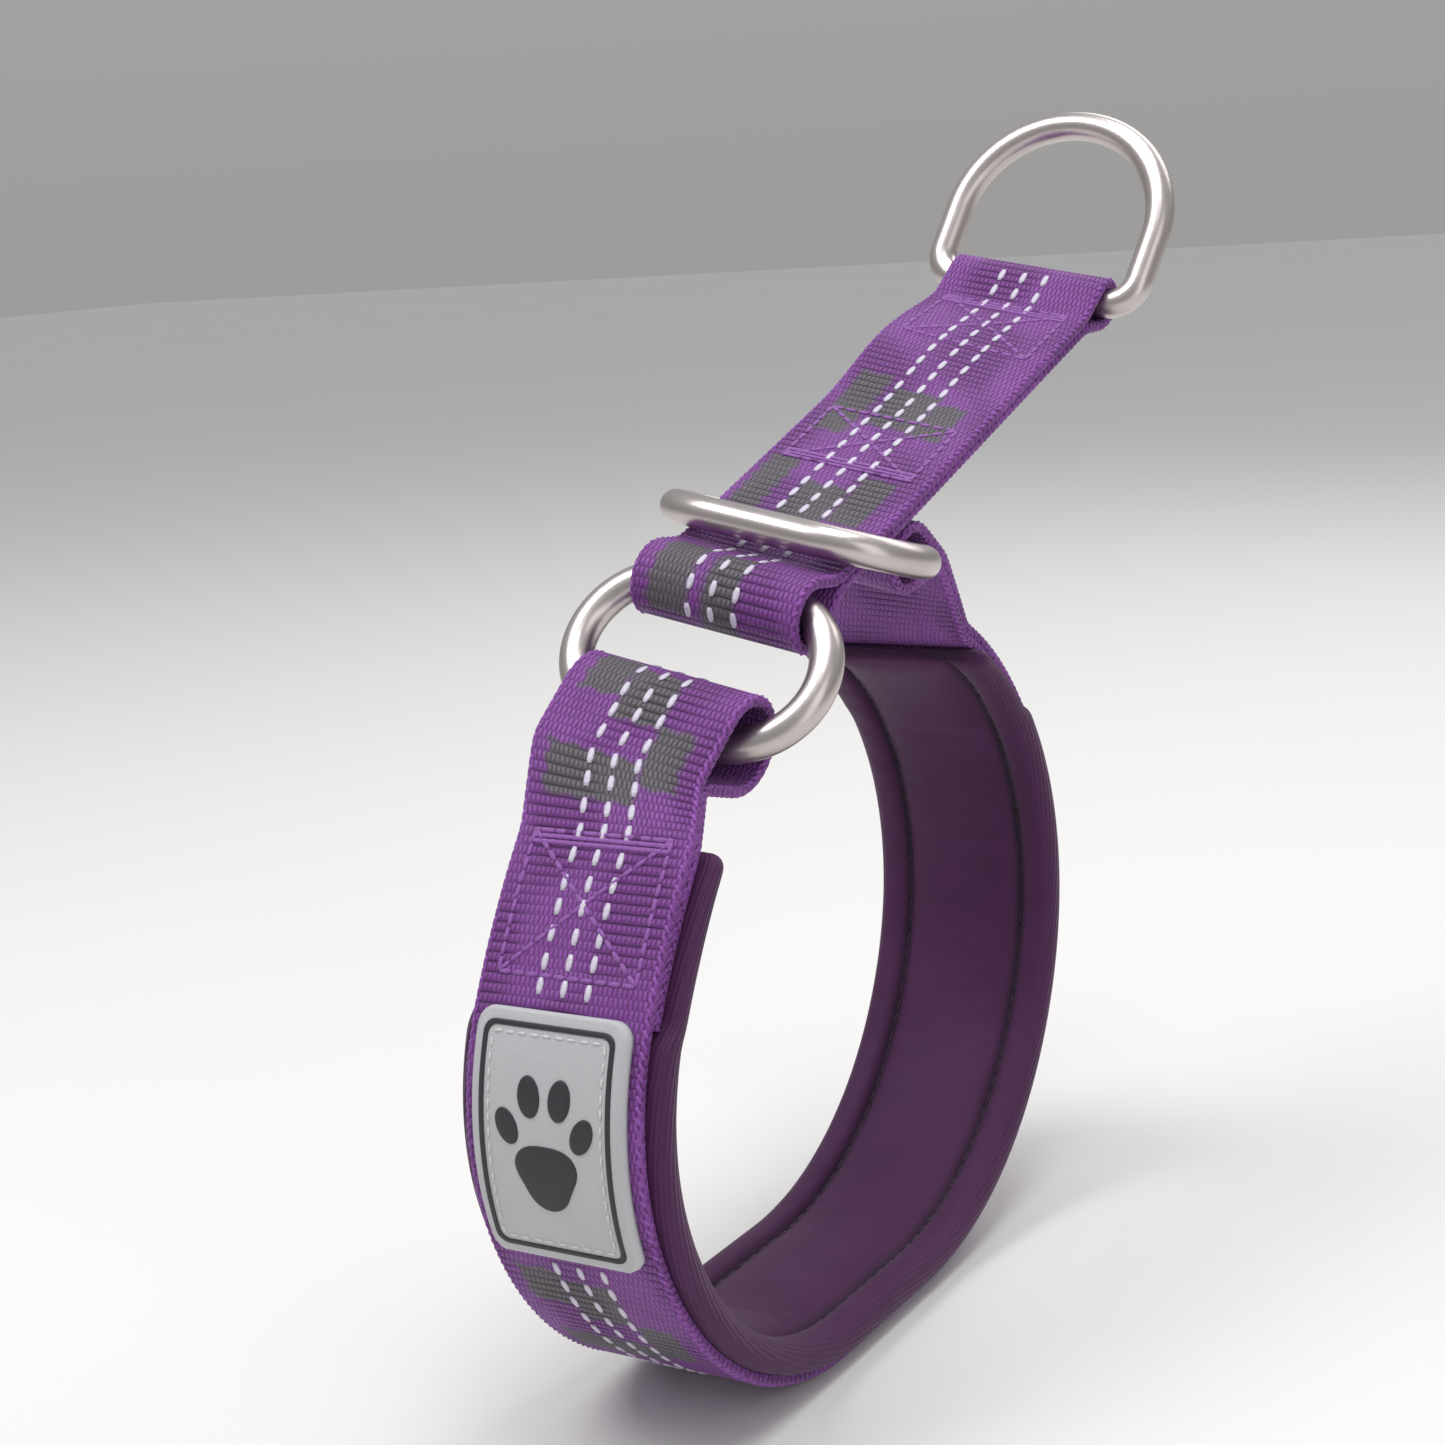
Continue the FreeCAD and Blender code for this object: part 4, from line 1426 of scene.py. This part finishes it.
def new_group(name: str, inputs: list[tuple], outputs: list[str]) -> tuple:
    """Starts a shader node group.

    Args:
        name: The group's name.
        inputs: Name, kind and default value of each input.
        outputs: Names of its float outputs.

    Returns:
        The group, its builder, its input sockets by name, and its output sockets by name.
    """
    group = bpy.data.node_groups.new(name, "ShaderNodeTree")
    for label, kind, default in inputs:
        socket = group.interface.new_socket(label, in_out="INPUT", socket_type=kind)
        if default is not None:
            socket.default_value = default
    for label in outputs:
        group.interface.new_socket(label, in_out="OUTPUT", socket_type="NodeSocketFloat")
    enter = group.nodes.new("NodeGroupInput")
    leave = group.nodes.new("NodeGroupOutput")
    return group, Tree(group), enter.outputs, leave.inputs


def weave_group() -> bpy.types.NodeTree:
    """Ribs across a strap, each made of short floats.

    Returns:
        The group, which puts out height and how deep in a gap a place is.
    """
    group, tree, enter, leave = new_group(
        "Weave", [("Place", "NodeSocketVector", None), ("Rib Pitch", "NodeSocketFloat", 1.1),
                  ("Float Pitch", "NodeSocketFloat", 0.62), ("Relief", "NodeSocketFloat", 1.0)],
        ["Height", "Gap"])
    axes = tree.add("SeparateXYZ", {0: enter["Place"]}).outputs
    jitter = tree.math("MULTIPLY", tree.noise(enter["Place"], 0.9), 0.5)
    ribs = tree.math("DIVIDE", axes[1], enter["Rib Pitch"])
    floats = tree.math("ADD", tree.math("DIVIDE", axes[0], enter["Float Pitch"]), jitter)
    stagger = tree.math("MULTIPLY", tree.math("FLOOR", ribs), 0.5)
    rib = tree.math("ABSOLUTE", tree.math("SINE", tree.math("MULTIPLY", ribs, math.pi)))
    cord = tree.math("SINE", tree.math("MULTIPLY", tree.math("ADD", floats, stagger), math.pi))
    rib = tree.math("POWER", rib, 0.55)
    cord = tree.math("POWER", tree.math("ABSOLUTE", cord), 0.6)
    depth = tree.math("MULTIPLY", tree.math("SUBTRACT", 1.0, rib), enter["Relief"])
    groove = tree.math("MULTIPLY", tree.math("SUBTRACT", 1.0, cord), 0.75)
    gap = tree.math("MAXIMUM", depth, groove)
    tree.join(gap, leave["Gap"])
    tree.join(tree.math("SUBTRACT", 1.0, gap), leave["Height"])
    return group


def fibre_group() -> bpy.types.NodeTree:
    """Loose fibres and patchy shade on fabric.

    Returns:
        The group, which puts out a fine mask and a broad one.
    """
    group, tree, enter, leave = new_group(
        "Fibres", [("Place", "NodeSocketVector", None), ("Fine Scale", "NodeSocketFloat", 5.0),
                   ("Broad Scale", "NodeSocketFloat", 0.15)], ["Fine", "Broad"])
    tree.join(tree.noise(enter["Place"], enter["Fine Scale"], 3.0), leave["Fine"])
    tree.join(tree.noise(enter["Place"], enter["Broad Scale"], 2.0), leave["Broad"])
    return group


class Shade(Enum):
    """Base colours, linear."""

    PURPLE = (0.180, 0.038, 0.240, 1.0)
    # Painted sheen on the webbing's smoother fields over random mottling, and the stitching thread's own
    # colour.
    PURPLE_LIGHT = (0.300, 0.090, 0.420, 1.0)
    # Painted shade in the gaps of the webbing's weave.
    PURPLE_GAP_SHADE = (0.040, 0.006, 0.066, 1.0)
    GREY = (0.128, 0.114, 0.132, 1.0)
    # Painted shade in the gaps of the grey blocks, and the print's second colour.
    GREY_DEEP = (0.030, 0.027, 0.035, 1.0)
    PAD = (0.050, 0.009, 0.050, 1.0)
    # Lighter knit: random mottling, and painted highlights on the rim's rib crests.
    PAD_LIGHT = (0.078, 0.016, 0.080, 1.0)
    # Painted shade in the padding's grooves.
    PAD_GROOVE_SHADE = (0.014, 0.003, 0.018, 1.0)
    SEAM = (0.026, 0.006, 0.030, 1.0)
    REFLECTIVE = (0.700, 0.640, 0.780, 1.0)
    NICKEL = (0.600, 0.545, 0.530, 1.0)
    NICKEL_WORN = (0.440, 0.395, 0.385, 1.0)
    LABEL = (0.520, 0.520, 0.540, 1.0)
    LABEL_DARK = (0.430, 0.430, 0.450, 1.0)
    INK = (0.020, 0.021, 0.024, 1.0)
    WHITE_THREAD = (0.720, 0.720, 0.730, 1.0)
    FLOOR = (0.800, 0.790, 0.770, 1.0)


def new_material(name: str, **sockets: object) -> tuple[bpy.types.Material, Tree, bpy.types.Node]:
    """Starts a material with a Principled shader.

    Args:
        name: The material's name.
        **sockets: Constant for each of the shader's sockets, with _ for a space.

    Returns:
        The material, its builder and its shader.
    """
    material = bpy.data.materials.new(name)
    material.use_nodes = True
    tree = Tree(material.node_tree)
    shader = material.node_tree.nodes["Principled BSDF"]
    for key, value in sockets.items():
        shader.inputs[key.replace("_", " ")].default_value = value
    return material, tree, shader


def bump(tree: Tree, shader: bpy.types.Node, height: bpy.types.NodeSocket, distance: float) -> None:
    """Sets the shader's normal from a height."""
    made = tree.add("Bump", {"Height": height, "Distance": distance, "Strength": 1.0})
    tree.join(made.outputs["Normal"], shader.inputs["Normal"])


@dataclass(frozen=True)
class Groups:
    """Effects that more than one material uses."""

    weave: bpy.types.NodeTree
    fibres: bpy.types.NodeTree

    def fibre(self, tree: Tree, place: bpy.types.NodeSocket, fine: float, broad: float) -> dict:
        """Places the fibre group and gives its outputs."""
        inputs = {"Place": place, "Fine Scale": fine, "Broad Scale": broad}
        return tree.add("Group", inputs, node_tree=self.fibres).outputs


@dataclass(frozen=True)
class WebbingFinish:
    """Ribbed woven nylon, purple with grey blocks, with painted shade in the gaps of its weave and painted
    sheen on its smoother fields.
    """

    sheen: float = 0.12
    roughness: float = 0.5
    gap_roughness: float = 0.25        # more where a gap is deep
    fine_fibres: float = 2.6
    broad_patches: float = 0.16
    fuzz: float = 0.35
    relief: float = 0.24 * MM

    def material(self, groups: Groups) -> bpy.types.Material:
        """Builds the material.

        Args:
            groups: The shared effects.

        Returns:
            The material.
        """
        material, tree, shader = new_material("woven_nylon", Sheen_Weight=self.sheen,
                                              Sheen_Roughness=0.4, Specular_IOR_Level=0.35)
        place = tree.value("weave", "Vector")
        relief = tree.add("SeparateXYZ", {0: place}).outputs[2]
        grey = tree.value("grey", "Fac")
        weave = tree.add("Group", node_tree=groups.weave)
        tree.join(place, weave.inputs["Place"])
        tree.join(relief, weave.inputs["Relief"])
        fibre = groups.fibre(tree, place, self.fine_fibres, self.broad_patches)
        # Painted sheen: the purple is lighter where the ribs are shallow, on top of random broad mottling.
        light = tree.math("MULTIPLY", fibre["Broad"], tree.math("SUBTRACT", 1.35, relief))
        purple = tree.blend(light, Shade.PURPLE.value, Shade.PURPLE_LIGHT.value)
        top = tree.blend(grey, purple, Shade.GREY.value)
        # Painted shade: where the weave's Gap output is deep, the colour is blended towards dark purple, or
        # dark grey in the grey blocks, with random fibre darkening mixed in.
        low = tree.blend(grey, Shade.PURPLE_GAP_SHADE.value, Shade.GREY_DEEP.value)
        worn = tree.math("MULTIPLY", fibre["Fine"], self.fuzz)
        shade = tree.math("ADD", weave.outputs["Gap"], tree.math("SUBTRACT", worn, 0.17))
        tree.join(tree.blend(shade, top, low), shader.inputs["Base Color"])
        rough = tree.math("MULTIPLY", weave.outputs["Gap"], self.gap_roughness)
        tree.join(tree.math("ADD", rough, self.roughness), shader.inputs["Roughness"])
        loose = tree.math("MULTIPLY", fibre["Fine"], 0.3)
        bump(tree, shader, tree.math("ADD", weave.outputs["Height"], loose), self.relief)
        return material


@dataclass(frozen=True)
class KnitFinish:
    """Soft dark knit of the padding, ribbed along the rim, with painted highlights on the rim's rib crests
    and painted shade in its grooves.
    """

    sheen: float = 0.12
    roughness: float = 0.62
    fine_fibres: float = 4.0
    broad_patches: float = 0.09
    rim_ribs: float = 10.0             # turns per mm round the section, in radians
    rim_slant: float = 0.9
    stitch: float = 14.0
    groove_shade: float = 0.9
    relief: float = 0.11 * MM

    def material(self, groups: Groups) -> bpy.types.Material:
        """Builds the material.

        Args:
            groups: The shared effects.

        Returns:
            The material.
        """
        material, tree, shader = new_material("padding_knit", Sheen_Weight=self.sheen, Sheen_Roughness=0.4,
                                              Roughness=self.roughness, Specular_IOR_Level=0.3)
        place = tree.value("weave", "Vector")
        around, along, rim = tree.add("SeparateXYZ", {0: place}).outputs
        groove = tree.value("groove", "Fac")
        fibre = groups.fibre(tree, place, self.fine_fibres, self.broad_patches)
        slant = tree.math("ADD", tree.math("MULTIPLY", around, self.rim_ribs),
                          tree.math("MULTIPLY", along, self.rim_slant))
        ribs = tree.math("MULTIPLY", tree.math("SINE", slant), 0.5)
        ribs = tree.math("MULTIPLY", tree.math("ADD", ribs, 0.5), rim)
        fine = tree.math("MULTIPLY", tree.math("SINE", tree.math("MULTIPLY", around, self.stitch)),
                         tree.math("SINE", tree.math("MULTIPLY", along, self.stitch)))
        base = tree.blend(fibre["Broad"], Shade.PAD.value, Shade.PAD_LIGHT.value)
        # Painted highlight: the rim's rib crests are blended towards the lighter knit colour, as well as
        # bumped.
        base = tree.blend(tree.math("MULTIPLY", ribs, 0.55), base, Shade.PAD_LIGHT.value)
        # Painted shade: the grooves are blended towards near-black purple.
        dark = tree.math("MULTIPLY", groove, self.groove_shade)
        tree.join(tree.blend(dark, base, Shade.PAD_GROOVE_SHADE.value), shader.inputs["Base Color"])
        fuzz = tree.math("MULTIPLY", fibre["Fine"], 0.35)
        grain = tree.math("ADD", tree.math("MULTIPLY", fine, 0.12), fuzz)
        bump(tree, shader, tree.math("ADD", grain, ribs), self.relief)
        return material


@dataclass(frozen=True)
class ThreadFinish:
    """Twisted thread."""

    name: str
    shade: Shade
    roughness: float
    darkest: float                     # share of the colour left in the painted shade between the twists
    twist: float = 2500.0
    relief: float = 0.12 * MM

    def material(self) -> bpy.types.Material:
        """Builds the material.

        Returns:
            The material.
        """
        material, tree, shader = new_material(self.name, Sheen_Weight=0.2, Roughness=self.roughness)
        noise = tree.noise(tree.place(), self.twist)
        # Painted shade: the colour is dimmed where the bump noise is low, between the twists.
        tree.join(tree.blend(noise, dimmed(self.shade, self.darkest), self.shade.value),
                  shader.inputs["Base Color"])
        bump(tree, shader, noise, self.relief)
        return material


@dataclass(frozen=True)
class MetalFinish:
    """Satin nickel with fine polishing marks."""

    roughness: float = 0.2
    cloud: float = 90.0
    marks: float = 1400.0
    relief: float = 0.012 * MM

    def material(self) -> bpy.types.Material:
        """Builds the material.

        Returns:
            The material.
        """
        material, tree, shader = new_material("satin_nickel", Metallic=1.0)
        place = tree.place()
        cloud, marks = tree.noise(place, self.cloud, 3.0), tree.noise(place, self.marks, 3.0)
        worn = tree.math("MULTIPLY", cloud, 0.6)
        tree.join(tree.blend(worn, Shade.NICKEL.value, Shade.NICKEL_WORN.value), shader.inputs["Base Color"])
        rough = tree.math("ADD", tree.math("MULTIPLY", cloud, 0.16), tree.math("MULTIPLY", marks, 0.08))
        tree.join(tree.math("ADD", rough, self.roughness), shader.inputs["Roughness"])
        bump(tree, shader, marks, self.relief)
        return material


@dataclass(frozen=True)
class SheetFinish:
    """A pale reflective sheet or a dark print, slightly uneven."""

    name: str
    first: Shade
    second: Shade
    roughness: float
    cloud: float
    grain: float
    grain_detail: float
    grain_share: float                 # how much of the mottling is grain
    relief: float

    def material(self) -> bpy.types.Material:
        """Builds the material.

        Returns:
            The material.
        """
        material, tree, shader = new_material(self.name)
        place = tree.place()
        grain, cloud = tree.noise(place, self.grain, self.grain_detail), tree.noise(place, self.cloud)
        mixed = tree.math("ADD", tree.math("MULTIPLY", grain, self.grain_share),
                          tree.math("MULTIPLY", cloud, 1.0 - self.grain_share))
        tree.join(tree.blend(mixed, self.first.value, self.second.value), shader.inputs["Base Color"])
        rough = tree.math("ADD", tree.math("MULTIPLY", cloud, 0.2), self.roughness)
        tree.join(rough, shader.inputs["Roughness"])
        bump(tree, shader, grain, self.relief)
        return material


def dimmed(shade: Shade, share: float) -> tuple:
    """A shade with its colour scaled."""
    return tuple(channel * share for channel in shade.value[:3]) + (1.0,)


@dataclass(frozen=True)
class Finishes:
    """All the collar's materials."""

    webbing: bpy.types.Material
    padding: bpy.types.Material
    reflective: bpy.types.Material
    stitching: bpy.types.Material
    dark_thread: bpy.types.Material
    patch_thread: bpy.types.Material
    metal: bpy.types.Material
    patch: bpy.types.Material
    patch_print: bpy.types.Material


def make_finishes() -> Finishes:
    """Builds the shared groups, then each material.

    Returns:
        The collar's materials.
    """
    groups = Groups(weave_group(), fibre_group())
    return Finishes(
        webbing=WebbingFinish().material(groups),
        padding=KnitFinish().material(groups),
        reflective=ThreadFinish("reflective_thread", Shade.REFLECTIVE, 0.42, 0.78).material(),
        stitching=ThreadFinish("purple_thread", Shade.PURPLE_LIGHT, 0.6, 0.62).material(),
        dark_thread=ThreadFinish("dark_thread", Shade.SEAM, 0.7, 0.6).material(),
        patch_thread=ThreadFinish("white_thread", Shade.WHITE_THREAD, 0.6, 0.7).material(),
        metal=MetalFinish().material(),
        patch=SheetFinish("reflective_label", Shade.LABEL, Shade.LABEL_DARK, 0.4, 220.0, 4200.0, 1.0, 0.6,
                          0.03 * MM).material(),
        patch_print=SheetFinish("label_print", Shade.INK, Shade.GREY_DEEP, 0.45, 900.0, 900.0, 2.0, 0.0,
                                0.02 * MM).material())


# ---- studio -------------------------------------------------------------------------------
@dataclass(frozen=True)
class SoftBox:
    """A rectangular studio light."""

    name: str
    place: tuple[float, float, float]
    size: tuple[float, float]
    power: float


@dataclass(frozen=True)
class Studio:
    """Floor, lights and camera."""

    target: tuple[float, float, float] = (0.0, -10.0 * MM, 76.8 * MM)
    azimuth: float = 32.0              # degrees
    elevation: float = 12.0
    roll: float = -4.06
    distance: float = 280.0 * MM
    lens: float = 60.7
    sensor: float = 36.0
    floor_reach: float = 4.0
    sky_strength: float = 0.55
    horizon: tuple[float, float, float, float] = (0.62, 0.61, 0.60, 1.0)
    zenith: tuple[float, float, float, float] = (0.92, 0.93, 0.96, 1.0)
    boxes: tuple[SoftBox, ...] = (SoftBox("key", (-0.26, -0.26, 0.74), (0.34, 0.34), 2.6),
                                  SoftBox("fill", (0.55, -0.25, 0.25), (0.30, 0.60), 0.6),
                                  SoftBox("rim", (0.10, 0.55, 0.50), (0.60, 0.30), 1.2),
                                  SoftBox("top", (0.10, 0.00, 0.70), (0.50, 0.20), 1.6))

    def build(self) -> None:
        """Makes the set."""
        self._floor()
        self._camera()
        for box in self.boxes:
            self._light(box)
        self._sky()
        bpy.context.scene.view_settings.view_transform = "Standard"

    def _sky(self) -> None:
        """Soft light from all round, brighter from above."""
        world = bpy.data.worlds.new("studio")
        world.use_nodes = True
        background = world.node_tree.nodes["Background"]
        tree = Tree(world.node_tree)
        up = tree.add("SeparateXYZ", {0: tree.add("TexCoord").outputs["Generated"]}).outputs[2]
        rising = tree.math("MAXIMUM", tree.math("MULTIPLY", up, 1.6), 0.0)
        tree.join(tree.blend(tree.math("MINIMUM", rising, 1.0), self.horizon, self.zenith),
                  background.inputs["Color"])
        background.inputs["Strength"].default_value = self.sky_strength
        bpy.context.scene.world = world

    def _floor(self) -> None:
        """A pale floor that runs out of view."""
        piece = MeshPiece()
        corners = np.array([(-1.0, -1.0, 0.0), (1.0, -1.0, 0.0), (1.0, 1.0, 0.0), (-1.0, 1.0, 0.0)])
        piece.add(corners * self.floor_reach, [(0, 1, 2, 3)])
        floor = piece.build("floor")
        material, tree, shader = new_material("floor", Roughness=0.8)
        cloud = tree.noise(tree.place(), 6.0)
        darker = dimmed(Shade.FLOOR, 0.97)
        tree.join(tree.blend(cloud, Shade.FLOOR.value, darker), shader.inputs["Base Color"])
        floor.data.materials.append(material)

    def _light(self, box: SoftBox) -> None:
        """Adds one soft box, aimed at the collar.

        Args:
            box: The light.
        """
        light = bpy.data.lights.new(box.name, "AREA")
        light.shape = "RECTANGLE"
        light.size, light.size_y = box.size
        light.energy = box.power
        lamp = bpy.data.objects.new(box.name, light)
        lamp.location = box.place
        aim = Vector(self.target) - Vector(box.place)
        lamp.rotation_euler = aim.to_track_quat("-Z", "Y").to_euler()
        bpy.context.scene.collection.objects.link(lamp)

    def _camera(self) -> None:
        """The camera, from the front right and a little above."""
        azimuth, tilt = math.radians(self.azimuth), math.radians(self.elevation)
        level_back = Vector((math.sin(azimuth), -math.cos(azimuth), 0.0))
        back = level_back * math.cos(tilt) + Vector((0.0, 0.0, math.sin(tilt)))
        level = Vector((math.cos(azimuth), math.sin(azimuth), 0.0))
        upright = back.cross(level)
        roll = math.radians(self.roll)
        right = level * math.cos(roll) + upright * math.sin(roll)
        up = upright * math.cos(roll) - level * math.sin(roll)
        data = bpy.data.cameras.new("camera")
        data.lens = self.lens
        data.sensor_width = self.sensor
        data.clip_start = 0.01
        camera = bpy.data.objects.new("camera", data)
        axes = Matrix((right, up, back)).transposed().to_4x4()
        camera.matrix_world = Matrix.Translation(Vector(self.target) + back * self.distance) @ axes
        bpy.context.scene.collection.objects.link(camera)
        bpy.context.scene.camera = camera


def main() -> None:
    """Builds the studio and the collar, and reports each piece."""
    logging.basicConfig(level=logging.INFO, format="%(message)s")
    Studio().build()
    finishes = make_finishes()
    bow = StrapBow()
    patch = LabelPatch()
    neck = NeckWebbing(patch)
    for part in (neck, ControlStrap(bow), Padding(neck), Hardware(), patch, BoxStitches(bow)):
        LOG.info("building %s", type(part).__name__)
        part.build(finishes)


if __name__ == "__main__":
    main()
